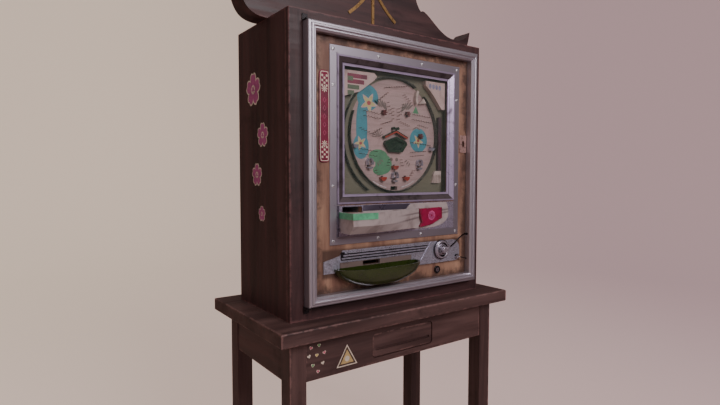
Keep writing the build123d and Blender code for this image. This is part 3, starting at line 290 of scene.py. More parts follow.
@effect(
    "wood_grain",
    [
        ("Position", VECTOR, None), ("Light", COLOUR, (0.5, 0.4, 0.3, 1)),
        ("Dark", COLOUR, (0.2, 0.1, 0.1, 1)), ("Fineness", NUMBER, 1.0),
    ],
    [("Colour", COLOUR), ("Height", NUMBER), ("Streak", NUMBER)],
)
def wood_grain(shade, given):
    wide = shade.noise(given["Position"], 0.35, 3.0, 0.5, 0.6)
    spread = shade.node("ShaderNodeVectorMath", {0: given["Position"]}, operation="SCALE")
    shade.tree.links.new(given["Fineness"], spread.inputs["Scale"])
    streak = shade.noise(spread.outputs[0], 1.0, 6.0, 0.65, 0.3)
    pores = shade.noise(spread.outputs[0], 4.5, 3.0, 0.7)
    blend = shade.add(shade.times(wide, 0.55), shade.times(streak, 0.45))
    tone = shade.band(blend, 0.36, 0.66)
    base = shade.mix(tone, given["Dark"], given["Light"])
    pore = shade.band(pores, 0.60, 0.74, 0.0, 0.55)
    tinted = shade.mix(pore, base, given["Dark"])
    height = shade.less(shade.times(streak, 0.6), shade.times(pore, 0.7))
    return {"Colour": tinted, "Height": height, "Streak": streak}


@effect(
    "grime",
    [("Position", VECTOR, None), ("Size", NUMBER, 6.0), ("Amount", NUMBER, 0.5)],
    [("Mask", NUMBER)],
)
def grime(shade, given):
    broad = shade.noise(given["Position"], given["Size"], 5.0, 0.62, 0.4)
    fine = shade.noise(given["Position"], shade.times(given["Size"], 9.0), 3.0, 0.6)
    both = shade.add(shade.times(broad, 0.75), shade.times(fine, 0.25))
    edge = shade.less(0.66, shade.times(given["Amount"], 0.24))
    mask = shade.band(both, edge, shade.add(edge, 0.16))
    return {"Mask": mask}


@effect(
    "edge_wear",
    [
        ("Position", VECTOR, None), ("Centre", VECTOR, (0, 0, 0)), ("Half", VECTOR, (1, 1, 1)),
        ("Width", NUMBER, 0.006),
    ],
    [("Mask", NUMBER)],
)
def edge_wear(shade, given):
    offset = shade.vector("ABSOLUTE", shade.vector("SUBTRACT", given["Position"], given["Centre"]))
    inward = shade.vector("SUBTRACT", given["Half"], offset)
    ragged = shade.noise(given["Position"], 34.0, 5.0, 0.7)
    width = shade.times(given["Width"], shade.band(ragged, 0.35, 0.7, 0.15, 1.9))
    near = []
    for side in shade.split(inward):
        near.append(shade.band(side, 0.0, width, 1.0, 0.0))
    total = shade.add(shade.add(near[0], near[1]), near[2])
    return {"Mask": shade.less(total, 1.0, clamp=True)}


@effect(
    "aged_metal",
    [
        ("Position", VECTOR, None), ("Base", COLOUR, (0.6, 0.6, 0.6, 1)),
        ("Stain", COLOUR, (0.2, 0.15, 0.15, 1)), ("Size", NUMBER, 20.0), ("Amount", NUMBER, 0.5),
    ],
    [("Colour", COLOUR), ("Roughness", NUMBER), ("Height", NUMBER), ("Mask", NUMBER)],
)
def aged_metal(shade, given):
    cloud = shade.noise(given["Position"], given["Size"], 6.0, 0.66, 0.5)
    pits = shade.noise(given["Position"], shade.times(given["Size"], 14.0), 2.0, 0.6)
    edge = shade.less(0.68, shade.times(given["Amount"], 0.26))
    mask = shade.band(cloud, edge, shade.add(edge, 0.2))
    speck = shade.band(pits, 0.64, 0.72, 0.0, 0.8)
    both = shade.most(mask, shade.times(speck, given["Amount"]))
    tone = shade.mix(both, given["Base"], given["Stain"])
    rough = shade.add(shade.band(both, 0.0, 1.0, 0.0, 0.32), shade.band(cloud, 0.3, 0.7, 0.24, 0.36))
    return {"Colour": tone, "Roughness": rough, "Height": shade.less(cloud, speck), "Mask": both}


@effect(
    "moulded",
    [
        ("Position", VECTOR, None), ("Base", COLOUR, (0.6, 0.6, 0.6, 1)),
        ("Worn", COLOUR, (0.3, 0.3, 0.3, 1)), ("Size", NUMBER, 30.0),
    ],
    [("Colour", COLOUR), ("Roughness", NUMBER), ("Height", NUMBER)],
)
def moulded(shade, given):
    cloud = shade.noise(given["Position"], given["Size"], 5.0, 0.6, 0.3)
    fine = shade.noise(given["Position"], shade.times(given["Size"], 22.0), 2.0, 0.5)
    scuff = shade.noise(
        shade.stretched(given["Position"], (1, 1, 5)), shade.times(given["Size"], 3.0), 6.0, 0.75
    )
    tone = shade.mix(shade.band(cloud, 0.42, 0.72, 0.0, 0.75), given["Base"], given["Worn"])
    rubbed = shade.band(scuff, 0.6, 0.7, 0.0, 0.25)
    rough = shade.add(shade.band(cloud, 0.3, 0.7, 0.0, 0.14), rubbed)
    return {
        "Colour": shade.mix(rubbed, tone, given["Worn"]), "Roughness": rough, "Height": shade.add(fine, scuff)
    }


def finish(
    shade, name, base, rough, metallic=0.0, height=None, bump=0.1, depth=0.001, coat=0.0, specular=0.5
):
    """Closes a material: one Principled shader fed by the wired colour, roughness and height."""
    tree = shade.tree
    shader = shade.node(
        "ShaderNodeBsdfPrincipled", {"Base Color": base, "Roughness": rough, "Metallic": metallic}
    )
    shader.inputs["Coat Weight"].default_value = coat
    shader.inputs["Coat Roughness"].default_value = 0.18
    shader.inputs["Specular IOR Level"].default_value = specular
    if height is not None:
        relief = shade.node("ShaderNodeBump", {"Strength": bump, "Distance": depth, "Height": height})
        tree.links.new(relief.outputs[0], shader.inputs["Normal"])
    sink = shade.node("ShaderNodeOutputMaterial")
    tree.links.new(shader.outputs[0], sink.inputs[0])
    return bpy.data.materials[name]


def blank(name):
    """An empty node material: the helper that wires it, and its position in the machine's frame."""
    made = bpy.data.materials.new(name)
    made.use_nodes = True
    made.node_tree.nodes.clear()
    shade = Shade(made.node_tree)
    return shade, shade.node("ShaderNodeTexCoord").outputs["Object"]


def dress(material, *nodes):
    """Puts a material on CAD nodes."""
    for node in nodes:
        target = NODES[node]
        target.data.materials.clear()
        target.data.materials.append(material)


# ---------------------------------------------------------------- wood finishes
GRAIN = {"X": (3.0, 46.0, 46.0), "Y": (46.0, 3.0, 46.0), "Z": (46.0, 46.0, 3.0)}


def wood(name, node, light, dark, along, wear=6 * MM, cross=None, shift=(0, 0, 0)):
    """Dresses a node in stained wood with grain along one axis, pale worn edges and dark grime.

    cross = (axis number, limit, other axis): past that limit the grain runs along the other axis."""
    shade, position = blank(name)
    centre, half = middle(node), half_size(node)
    first = shade.grain(shade.stretched(position, GRAIN[along], shift), light, dark)
    tone, relief = first["Colour"], first["Height"]
    if cross:
        other = shade.grain(shade.stretched(position, GRAIN[cross[2]], shift), light, dark)
        away = shade.apart(shade.split(position)[cross[0]], centre[cross[0]])
        turned = shade.math("GREATER_THAN", away, cross[1])
        tone = shade.mix(turned, tone, other["Colour"])
        relief = shade.mix(turned, relief, other["Height"])
    worn = shade.group(
        "edge_wear", {"Position": position, "Centre": centre, "Half": half, "Width": wear}
    )["Mask"]
    dirt = shade.dirt(position, 5.0, 0.5)
    pale = tuple(min(1.0, v * 2.4) for v in light)
    black = dim(dark, 0.35)
    tone = shade.mix(shade.times(dirt, 0.55), tone, opaque(black))
    tone = shade.mix(shade.times(worn, 0.55), tone, opaque(pale))
    shine = shade.band(first["Streak"], 0.3, 0.7, 0.42, 0.62)
    dress(finish(shade, name, tone, shine, height=relief, bump=0.35, depth=0.0012), node)


def door_veneer(name, light, dark):
    """Tan veneer of the door with random grime patches, and painted shade along its edge under the rim and
    around the lower plate.
    """
    shade, position = blank(name)
    grain = shade.grain(shade.stretched(position, (30, 30, 4)), light, dark)
    across, _, up = shade.split(position)
    edge = shade.least(*shade.inset(across, up, "door_panel"))
    blotch = shade.noise(position, 24.0, 5.0, 0.65, 0.4)
    # Painted shade: a ragged band along the panel's edge under the rim, and a band round the lower plate.
    ragged = shade.add(edge, shade.band(blotch, 0.3, 0.7, 0.014, -0.012))
    rim_shade = shade.band(ragged, 0.0, 0.034, 1.0, 0.0)
    gap_x, gap_z = shade.inset(across, up, "lower_plate")
    gap = shade.times(shade.least(gap_x, gap_z), -1.0)
    plate_shade = shade.band(gap, -0.002, 0.012, 0.8, 0.0)
    # The mask below holds only painted shade, not grime; the patches after it are the real grime.
    dirt = shade.most(shade.times(rim_shade, 0.9), plate_shade)
    patch = shade.dirt(position, 9.0, 0.45)
    tone = shade.mix(shade.times(patch, 0.35), grain["Colour"], opaque(dark))
    tone = shade.mix(dirt, tone, opaque(dim(dark, 0.28)))
    shine = shade.band(blotch, 0.3, 0.7, 0.4, 0.62)
    return finish(shade, name, tone, shine, height=grain["Height"], bump=0.25, depth=0.0008)


# --------------------------------------------------------------- metal finishes
def metal(
    name, base, stain, size=20.0, amount=0.5, metallic=0.9, shine=0.0, bump=0.15, depth=0.0004, streak=None,
    fade=None,
):
    """Aged metal. streak is an axis scale for brush marks.

    fade = (left X, right X, colour): painted shade, the metal darkens to the colour from left to right."""
    shade, position = blank(name)
    age = shade.aged(position, base, stain, size, amount)
    height, tone = age["Height"], age["Colour"]
    rough = shade.less(age["Roughness"], shine, clamp=True)
    # Painted shade: the metal darkens from left to right, as the light falls.
    if fade:
        ragged = shade.add(
            shade.split(position)[0], shade.band(shade.noise(position, 7.0), 0.3, 0.7, -0.12, 0.12)
        )
        tone = shade.mix(shade.band(ragged, fade[0], fade[1], 0.0, 0.8), tone, opaque(fade[2]))
    if streak:
        lines = shade.noise(shade.stretched(position, streak), 1.0, 4.0, 0.7)
        height = shade.add(height, lines)
        tone = shade.mix(shade.band(lines, 0.45, 0.75, 0.0, 0.3), tone, opaque(stain))
    return finish(shade, name, tone, rough, metallic, height=height, bump=bump, depth=depth)


def rim_finish(name):
    """Rim of the main door: brown outer part, grey inner part, a bead with a painted highlight that is
    strongest at the left, and painted shade on the dark outer edge and in the throat.
    """
    shade, position = blank(name)
    across, _, up = shade.split(position)
    centre, half = middle("rim_frame"), half_size("rim_frame")
    inward_x, inward_z = shade.inset(across, up, "rim_frame")
    inward = shade.least(inward_x, inward_z)
    # Painted highlight along the bead.
    bead_highlight = shade.times(
        shade.band(inward, 9 * MM, 11 * MM), shade.band(inward, 21.5 * MM, 22.5 * MM, 1.0, 0.0)
    )
    # Painted highlight: the bead is brightest at the left and dims towards the right.
    left_side = centre.x - half.x
    left = shade.band(across, left_side + 30 * MM, left_side + 60 * MM, 1.0, 0.3)
    left = shade.times(left, shade.band(across, centre.x, centre.x + half.x, 1.0, 0.4))
    bead_highlight = shade.times(bead_highlight, left)
    inner = shade.band(inward, 19 * MM, 21 * MM)
    lit_metal = shade.aged(position, linear(226, 214, 236), linear(120, 104, 112), 16.0, 0.42)
    brown = shade.aged(position, linear(94, 78, 82), linear(58, 42, 42), 12.0, 0.8)
    grey = shade.aged(position, linear(78, 66, 72), linear(40, 30, 34), 18.0, 0.7)
    tone = shade.mix(inner, brown["Colour"], grey["Colour"])
    tone = shade.mix(bead_highlight, tone, lit_metal["Colour"])
    # Painted shade: the outer edge and the throat are painted near black.
    flank_shade = shade.band(inward, 0.2 * MM, 1.6 * MM, 1.0, 0.0)
    throat_shade = shade.band(inward, 22.5 * MM, 24.0 * MM)
    tone = shade.mix(shade.most(flank_shade, throat_shade), tone, opaque(linear(26, 20, 22)))
    rough = shade.add(shade.times(bead_highlight, -0.25), shade.add(brown["Roughness"], 0.22))
    rough = shade.most(rough, shade.times(throat_shade, 0.9))
    lines = shade.noise(shade.stretched(position, (90, 90, 30)), 1.0, 4.0, 0.7)
    height = shade.add(brown["Height"], lines)
    return finish(shade, name, tone, rough, 0.2, height=height, bump=0.2, depth=0.0005, specular=0.25)


def window_frame_finish(name):
    """Window frame: slopes in painted shade, except the right one, painted as lit, and painted highlights on
    a ring and a strip at the glass.
    """
    shade, position = blank(name)
    across, _, up = shade.split(position)
    inward_x, inward_z = shade.inset(across, up, "glass_frame")
    inward = shade.least(inward_x, inward_z)
    # Painted light: the right slope, a ring and a strip at the glass get a lit copy of the metal, and the
    # other slopes a shaded copy.
    upright = shade.band(shade.less(inward_z, inward_x), -0.5 * MM, 0.5 * MM)
    right = shade.times(upright, shade.math("GREATER_THAN", across, middle("glass_frame").x))
    ring = shade.band(inward, 23 * MM, 25 * MM)
    lip_highlight = shade.band(inward, 5 * MM, 7 * MM, 0.6, 0.0)
    light = shade.most(shade.most(right, shade.times(ring, 0.8)), lip_highlight)
    seam = shade.band(shade.apart(inward, 22 * MM), 0.4 * MM, 1.4 * MM, 0.85, 0.0)
    lit_metal = shade.aged(position, linear(186, 170, 200), linear(104, 90, 104), 12.0, 0.5)
    shaded_metal = shade.aged(position, linear(84, 72, 74), linear(42, 32, 34), 14.0, 0.7)
    tone = shade.mix(light, shaded_metal["Colour"], lit_metal["Colour"])
    tone = shade.mix(seam, tone, opaque(linear(36, 28, 30)))
    rough = shade.add(lit_metal["Roughness"], shade.times(shade.less(1.0, light), 0.3))
    return finish(shade, name, tone, rough, 0.35, height=shaded_metal["Height"], bump=0.15, depth=0.0004)


def ringed(name, hub, rings, reach, pale, dark):
    """Turned metal with painted shade in grooved rings round a hub, black beyond a reach. Ring radii are in
    millimetres.
    """
    shade, position = blank(name)
    across, _, up = shade.split(shade.vector("SUBTRACT", position, tuple(hub)))
    radius = shade.radius(across, up)
    age = shade.aged(position, pale, dim(pale, 0.4), 50.0, 0.5)
    shadow = shade.band(radius, (reach - 1) * MM, reach * MM)
    # Painted shade in the grooves of the rings.
    for ring, width in rings:
        away = shade.apart(radius, ring * MM)
        shadow = shade.most(shadow, shade.band(away, width * 0.5 * MM, width * MM, 1.0, 0.0))
    tone = shade.mix(shadow, age["Colour"], opaque(dark))
    return finish(shade, name, tone, age["Roughness"], 0.8, height=age["Height"], bump=0.1, depth=0.0003)


def ribbed_plate(node, base, stain, dimples, groove, raised, smooth):
    """Dresses a plate that is hammered behind whatever stands proud of it by the raised height.

    groove = (low Z, high Z, left X, right X less Z) of a part with painted shade in its grooves and a
    slanting right end.
    smooth = colour of what stands proud, where it differs from the plate."""
    name = f"{node}_hammered"
    shade, position = blank(name)
    across, back, up = shade.split(position)
    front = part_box(node)[0].y
    age = shade.aged(position, base, stain, 12.0, 0.5)
    cells = shade.node(
        "ShaderNodeTexVoronoi", {"Vector": position, "Scale": 1.0 / dimples}, feature="SMOOTH_F1"
    ).outputs["Distance"]
    deep = shade.band(back, front + raised * 0.3, front + raised * 0.7)
    tone = shade.mix(shade.band(cells, 0.25, 0.6, 0.0, 0.35), age["Colour"], opaque(stain))
    relief = shade.times(cells, deep)
    if smooth:
        tone = shade.mix(deep, opaque(smooth), tone)
    if groove:
        low, high, left, right = groove
        inside = shade.times(
            shade.band(up, low, low + 0.5 * MM), shade.band(up, high - 0.5 * MM, high, 1.0, 0.0)
        )
        slant = shade.less(across, up)
        ends = shade.times(
            shade.band(across, left, left + 2 * MM), shade.band(slant, right - 2 * MM, right, 1.0, 0.0)
        )
        inside = shade.times(inside, ends)
        # Painted shade: the hollows between the ribs are painted near black.
        tone = shade.mix(shade.times(inside, deep), tone, opaque(dim(stain, 0.16)))
    height = shade.add(shade.times(relief, 1.6), shade.times(age["Height"], 0.2))
    dress(finish(shade, name, tone, age["Roughness"], 0.7, height=height, bump=0.5, depth=0.001), node)


def plastic(name, base, worn, rough=0.3, size=30.0, coat=0.2, bump=0.08, metallic=0.0):
    """Moulded plastic with soft tone changes, scuffs and a faint orange-peel surface."""
    shade, position = blank(name)
    skin = shade.skin(position, base, worn, size)
    shine = shade.add(skin["Roughness"], rough)
    return finish(
        shade, name, skin["Colour"], shine, metallic, height=skin["Height"], bump=bump, depth=0.0003,
        coat=coat,
    )


def tray_finish(name):
    """Grey tray moulding with soft creases, bumped and darkened by painted shade, that lead the eye towards
    the shooter.
    """
    shade, position = blank(name)
    across, _, up = shade.split(position)
    low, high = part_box("upper_tray")
    skin = shade.skin(position, linear(186, 172, 170), linear(142, 126, 124), 22.0)
    along = shade.over(shade.less(across, low.x), high.x - low.x)
    creases = None
    for start, top, slope in ((0.36, 0.56, 0.22), (0.30, 0.30, 0.42)):
        line = shade.add(shade.times(shade.less(along, start), slope), top)
        level = shade.over(shade.less(up, low.z), high.z - low.z)
        away = shade.apart(level, line)
        soft = shade.band(away, 0.0, 0.06, 1.0, 0.0)
        started = shade.band(along, start, start + 0.25)
        crease = shade.times(soft, started)
        creases = crease if creases is None else shade.most(creases, crease)
    dirt = shade.dirt(position, 14.0, 0.35)
    tone = shade.mix(shade.times(dirt, 0.3), skin["Colour"], opaque(linear(84, 70, 66)))
    # Painted shade along the creases.
    tone = shade.mix(shade.times(creases, 0.6), tone, opaque(linear(70, 56, 58)))
    height = shade.less(shade.times(skin["Height"], 0.1), creases)
    shine = shade.add(skin["Roughness"], 0.28)
    return finish(shade, name, tone, shine, height=height, bump=0.5, depth=0.0012, coat=0.15)


def lower_tray_finish(name):
    """Glossy olive bowl with a dull grey plate behind it."""
    shade, position = blank(name)
    up = shade.split(position)[2]
    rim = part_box("lower_tray")[1].z - 17 * MM
    skin = shade.skin(position, linear(50, 62, 22), linear(26, 32, 12), 12.0)
    plate = shade.dirt(position, 20.0, 0.5)
    grey = shade.mix(plate, opaque(linear(124, 106, 100)), opaque(linear(70, 58, 54)))
    behind = shade.band(up, rim, rim + 0.6 * MM)
    tone = shade.mix(behind, skin["Colour"], grey)
    rough = shade.add(skin["Roughness"], shade.band(behind, 0.0, 1.0, 0.14, 0.4))
    return finish(shade, name, tone, rough, height=skin["Height"], bump=0.06, depth=0.0003, coat=0.6)


def board_finish(name, ground, surround):
    """Playfield ply: cream print inside the ball rail, khaki outside, both browned with age."""
    shade, position = blank(name)
    centre = playfield_centre()
    across, _, up = shade.split(shade.vector("SUBTRACT", position, tuple(centre)))
    reach = shade.radius(across, up)
    outside = shade.band(reach, PRINT_RADIUS - 2 * MM, PRINT_RADIUS + 0.5 * MM)
    blotch = shade.dirt(position, 11.0, 0.5)
    fibres = shade.noise(shade.stretched(position, (9, 40, 120)), 1.0, 4.0, 0.65)
    tone = shade.mix(outside, opaque(ground), opaque(surround))
    tone = shade.mix(shade.band(fibres, 0.4, 0.75, 0.0, 0.3), tone, opaque(dim(surround, 0.55)))
    shadow = shade.band(reach, PRINT_RADIUS - 42 * MM, PRINT_RADIUS, 0.0, 0.32)
    inner = shade.times(shadow, shade.less(1.0, outside))
    tone = shade.mix(inner, tone, opaque(dim(ground, 0.5)))
    tone = shade.mix(shade.times(blotch, 0.3), tone, opaque(dim(ground, 0.5)))
    shine = shade.band(fibres, 0.3, 0.7, 0.3, 0.45)
    return finish(shade, name, tone, shine, height=fibres, bump=0.06, depth=0.0004, coat=0.2)


def glass_finish(name):
    """Clear pane: faint green body and smears, with a painted reflection: the pale tone grows more opaque at
    a low angle.
    """
    shade, position = blank(name)
    smear = shade.noise(shade.stretched(position, (3, 1, 9)), 1.0, 5.0, 0.6, 0.8)
    dust = shade.noise(position, 260.0, 2.0, 0.5)
    facing = shade.node("ShaderNodeLayerWeight", {"Blend": 0.25}).outputs["Facing"]
    veil = shade.add(shade.band(smear, 0.45, 0.8, 0.0, 0.03), shade.band(dust, 0.66, 0.74, 0.0, 0.03))
    # Painted reflection: the pane's pale tone grows more opaque towards a low angle.
    body = shade.add(shade.band(facing, 0.3, 1.0, 0.04, 0.5), veil, clamp=True)
    tone = shade.mix(
        shade.band(smear, 0.3, 0.7), opaque(linear(120, 150, 140)), opaque(linear(160, 180, 172))
    )
    material = finish(shade, name, tone, shade.band(smear, 0.3, 0.8, 0.02, 0.09))
    shader = next(n for n in shade.tree.nodes if n.type == "BSDF_PRINCIPLED")
    shade.tree.links.new(body, shader.inputs["Alpha"])
    material.surface_render_method = "BLENDED"
    return material


# ------------------------------------------------------------- mesh helpers
TO_FRONT = Matrix(((1, 0, 0, 0), (0, 0, -1, 0), (0, 1, 0, 0), (0, 0, 0, 1)))
TO_LEFT = Matrix(((0, 0, -1, 0), (-1, 0, 0, 0), (0, 1, 0, 0), (0, 0, 0, 1)))


def facing(x, y, z):
    """Matrix that stands a flat shape at a point, facing the front."""
    return Matrix.Translation((x, y, z)) @ TO_FRONT


def playfield_centre():
    """Centre of the ball rail, on the front of the board."""
    board = middle("playfield_board")
    return Vector((board.x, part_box("playfield_board")[0].y, board.z - 4 * MM))


def add_piece(name, bm, body, material, replaces=(), smooth=None):
    """Makes a piece from a bmesh with its materials, ties it to its body and hides the nodes it stands for.
    """
    bmesh.ops.remove_doubles(bm, verts=bm.verts, dist=1e-7)
    bmesh.ops.recalc_face_normals(bm, faces=bm.faces)
    mesh = bpy.data.meshes.new(name)
    bm.to_mesh(mesh)
    bm.free()
    piece = bpy.data.objects.new(name, mesh)
    bpy.context.scene.collection.objects.link(piece)
    for entry in material if isinstance(material, list) else [material]:
        mesh.materials.append(entry)
    if smooth is not None:
        mesh.polygons.foreach_set("use_smooth", [True] * len(mesh.polygons))
        mesh.set_sharp_from_angle(angle=radians(smooth))
    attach(piece, body)
    if replaces:
        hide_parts(*replaces)
    return piece


def cut_out(bm, place, rim, points, thickness, turned=0.0, index=0):
    """Adds a thin flat cut-out whose edge lies at rim(angle) from its middle.

    place is the matrix that takes the flat shape to where it lies."""
    made = bmesh.ops.create_circle(bm, cap_ends=True, segments=points, radius=1.0)
    for vert in made["verts"]:
        angle = atan2(vert.co.y, vert.co.x)
        reach = rim(angle)
        if not isinstance(reach, tuple):
            reach = (cos(angle) * reach, sin(angle) * reach)
        vert.co = Vector((*reach, 0.0))
    face = made["verts"][0].link_faces[0]
    top = bmesh.ops.extrude_face_region(bm, geom=[face])
    raised = [g for g in top["geom"] if isinstance(g, bmesh.types.BMVert)]
    bmesh.ops.translate(bm, vec=(0, 0, thickness), verts=raised)
    every = list(set(made["verts"] + raised))
    for part in {f for v in every for f in v.link_faces}:
        part.material_index = index
    bmesh.ops.rotate(bm, cent=(0, 0, 0), matrix=Matrix.Rotation(turned, 3, "Z"), verts=every)
    bmesh.ops.transform(bm, matrix=place, verts=every)


def on_board(across, up, lift=0.0):
    """Matrix of a flat shape on the playfield, given in millimetres from its centre."""
    centre = playfield_centre()
    return facing(centre.x + across * MM, centre.y - lift, centre.z + up * MM)


def ellipse(half_width, half_height):
    """Edge of an ellipse in millimetres."""
    return lambda angle: (cos(angle) * half_width * MM, sin(angle) * half_height * MM)


def sign(value):
    return 1 if value > 0 else -1


def block(half_width, half_height):
    """Corners of a rectangle, in millimetres, for a cut-out of eight points."""
    return lambda angle: (half_width * MM * sign(cos(angle)), half_height * MM * sign(sin(angle)))


def star(radius, waist=0.42, points=5):
    """Edge of a star with slightly hollow arms, in millimetres."""

    def rim(angle):
        wave = abs(((angle * points / (2 * pi)) + 0.25 * points) % 1.0 - 0.5) * 2
        return radius * MM * (waist + (1 - waist) * wave**1.6)

    return rim


def heart(size):
    """Edge of a heart, in millimetres across."""

    def rim(angle):
        t = pi / 2 - angle
        unit = size * MM / 34
        return unit * 16 * sin(t) ** 3, unit * (13 * cos(t) - 5 * cos(2 * t) - 2 * cos(3 * t) - cos(4 * t))

    return rim


def petal_edge(size):
    """Edge of one blossom petal standing on the blossom's middle, in millimetres."""

    def rim(angle):
        notch = 0.26 * exp(-((((angle - pi / 2) + pi) % (2 * pi) - pi) / 0.26) ** 2)
        swell = 1.0 + 0.14 * sin(angle)
        return (cos(angle) * size * 0.88 * swell * MM, (sin(angle) - notch) * size * MM)

    return rim


def clusters(node, reach):
    """Middle X and Z, front and back of a CAD node's separate solids, found by gathering its points."""
    found = []
    for vert in NODES[node].data.vertices:
        for group in found:
            if abs(vert.co.x - group[0].x) < reach and abs(vert.co.z - group[0].z) < reach:
                group[1].append(vert.co)
                break
        else:
            found.append((vert.co.copy(), [vert.co]))
    places = []
    for _, points in found:
        low = [min(p[axis] for p in points) for axis in range(3)]
        high = [max(p[axis] for p in points) for axis in range(3)]
        places.append(((low[0] + high[0]) / 2, (low[2] + high[2]) / 2, low[1], high[1]))
    return places


# ----------------------------------------------------------------- operators
class PACHINKO_OT_woodwork(bpy.types.Operator):
    """Stained wood on the cabinet, headboard and stand, tan veneer on the door"""

    bl_idname = "pachinko.woodwork"
    bl_label = "Woodwork"

    def execute(self, context):
        tint = context.scene.pachinko_wood
        panel_half = half_size("door_panel")
        cabinet = (tint.cabinet_light, tint.cabinet_dark)
        stand = (tint.stand_light, tint.stand_dark)
        plans = [
            ("cabinet_sides", cabinet, "Z", None),
            ("cabinet_shelves", cabinet, "X", None),
            ("cabinet_back", cabinet, "Z", None),
            ("front_surround", cabinet, "X", (0, panel_half.x, "Z")),
            ("headboard", cabinet, "X", None),
            ("stand_top", stand, "X", None),
            ("legs", stand, "Z", None),
            ("apron_front", stand, "X", None),
            ("aprons", stand, "Y", (1, half_size("aprons").y - 21 * MM, "X")),
            ("drawer_front", stand, "X", None),
        ]
        for number, (node, tones, along, cross) in enumerate(plans):
            shift = (number * 3.7, number * 1.9, number * 2.3)
            wood(f"{node}_wood", node, *tones, along, cross=cross, shift=shift)
        dress(door_veneer("door_veneer", tint.panel_light, tint.panel_dark), "door_panel")
        for node in ("drawer_box", "drawer_runners", "board_spacer"):
            wood(f"{node}_ply", node, tint.bare_light, tint.bare_dark, "X", wear=2 * MM)
        return {"FINISHED"}


class PACHINKO_OT_metalwork(bpy.types.Operator):
    """Rim, bezel, window frame, plates, rails and levers in aged metal"""

    bl_idname = "pachinko.metalwork"
    bl_label = "Metalwork"

    def execute(self, context):
        dress(rim_finish("rim_metal"), "rim_frame")
        left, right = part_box("bezel")[0].x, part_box("bezel")[1].x
        dress(window_frame_finish("window_frame_chrome"), "glass_frame")
        silver, black = linear(206, 200, 212), linear(24, 20, 22)
        boss, top = middle("shooter_boss"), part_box("lower_plate")[1].z
        # Bounds of the ribbed part whose grooves get painted shade.
        ribs = (top - 38 * MM, top - 5 * MM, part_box("lower_plate")[0].x + 62 * MM, boss.x - top - 50 * MM)
        smooth = linear(112, 104, 122)
        ribbed_plate(
            "tray_plate", linear(206, 198, 220), linear(104, 92, 106), 4.5 * MM, None, 3 * MM, smooth
        )
        ribbed_plate(
            "lower_plate", linear(206, 206, 222), linear(112, 102, 112), 4 * MM, ribs, 2.4 * MM, None
        )
        dress(ringed("shooter_boss_metal", boss, ((35, 1.6), (24, 3.0)), 60, silver, black), "shooter_boss")
        dress(ringed("shooter_knob", boss, ((14, 1.4),), 19, silver, black), "shooter_lever")
        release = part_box("release_lever")[0] + Vector((9, 0, 9)) * MM
        dress(ringed("release_knob", release, ((7, 1.0),), 10, silver, black), "release_lever")
        # The bezel's darkening from left to right is painted shade.
        brushed = {"metallic": 0.45, "streak": (40, 40, 40), "fade": (left, right, linear(84, 70, 76))}
        polished = {"metallic": 1.0, "shine": 0.2, "bump": 0.03}
        levers = ("lock_housing", "hammer", "hammer_bracket", "pivot_brackets")
        rows = (
            ("bezel_steel", (138, 126, 150), (74, 58, 64), 14.0, 0.65, brushed, "bezel"),
            ("latch_steel", (190, 154, 146), (110, 84, 80), 50.0, 0.6, {"metallic": 0.4}, "latch_plate"),
            ("key_steel", (170, 160, 168), (70, 60, 66), 40.0, 0.6, {"shine": 0.08}, "key_cylinder"),
            ("levers_black", (44, 40, 42), (20, 16, 18), 60.0, 0.5, {"metallic": 0.6}, *levers),
            ("guide_rail_steel", (96, 98, 92), (34, 34, 30), 30.0, 0.6, {"metallic": 0.8}, "guide_rails"),
            ("ball_chrome", (226, 220, 228), (130, 120, 128), 90.0, 0.4, polished, "loose_balls"),
            ("crest_gold", (180, 142, 92), (104, 74, 44), 40.0, 0.5, {"metallic": 0.6}, "gold_motif"),
        )
        for name, base, stain, size, amount, settings, *nodes in rows:
            dress(metal(name, linear(*base), linear(*stain), size, amount, **settings), *nodes)
        return {"FINISHED"}


class PACHINKO_OT_mouldings(bpy.types.Operator):
    """Trays, cover, pockets, tulips and the ball works in moulded plastic"""

    bl_idname = "pachinko.mouldings"
    bl_label = "Mouldings"

    def execute(self, context):
        dress(tray_finish("upper_tray_moulding"), "upper_tray")
        dress(lower_tray_finish("olive_tray"), "lower_tray")
        petals = [name for name in NODES if name.startswith("petal_")]
        spinners = [name for name in NODES if name.startswith("spinner_")]
        works = ("ball_tank", "feed_chute", "payout_unit", "drain_chute")
        rows = (
            ("mint_band", (112, 196, 150), (74, 146, 108), 0.28, {}, "tray_trim"),
            ("crimson_cover", (160, 28, 72), (96, 14, 44), 0.16, {"coat": 0.6}, "feed_cover"),
            ("fitting_moulding", (206, 186, 178), (150, 130, 124), 0.35, {}, "rail_fittings"),
            ("column_moulding", (86, 52, 66), (50, 30, 40), 0.35, {}, "launch_column"),
            ("pocket_red", (170, 62, 50), (110, 36, 34), 0.2, {"size": 60.0, "coat": 0.4}, "pockets"),
            (
                "tulip_silver", (206, 206, 222), (130, 128, 146), 0.12, {"size": 60.0, "metallic": 0.7},
                "tulip_cups", *petals,
            ),
            ("spinner_red", (120, 56, 60), (70, 34, 40), 0.3, {"size": 60.0}, *spinners),
            ("centre_green", (44, 62, 48), (22, 32, 26), 0.16, {"coat": 0.5}, "centrepiece"),
            ("works_grey", (150, 154, 158), (104, 104, 108), 0.4, {"size": 14.0}, *works),
        )
        for name, base, worn, rough, settings, *nodes in rows:
            dress(plastic(name, linear(*base), linear(*worn), rough, **settings), *nodes)
        return {"FINISHED"}


class PACHINKO_OT_window(bpy.types.Operator):
    """Clear pane of the window"""

    bl_idname = "pachinko.window"
    bl_label = "Window Pane"

    def execute(self, context):
        dress(glass_finish("window_pane"), "window_glass")
        return {"FINISHED"}


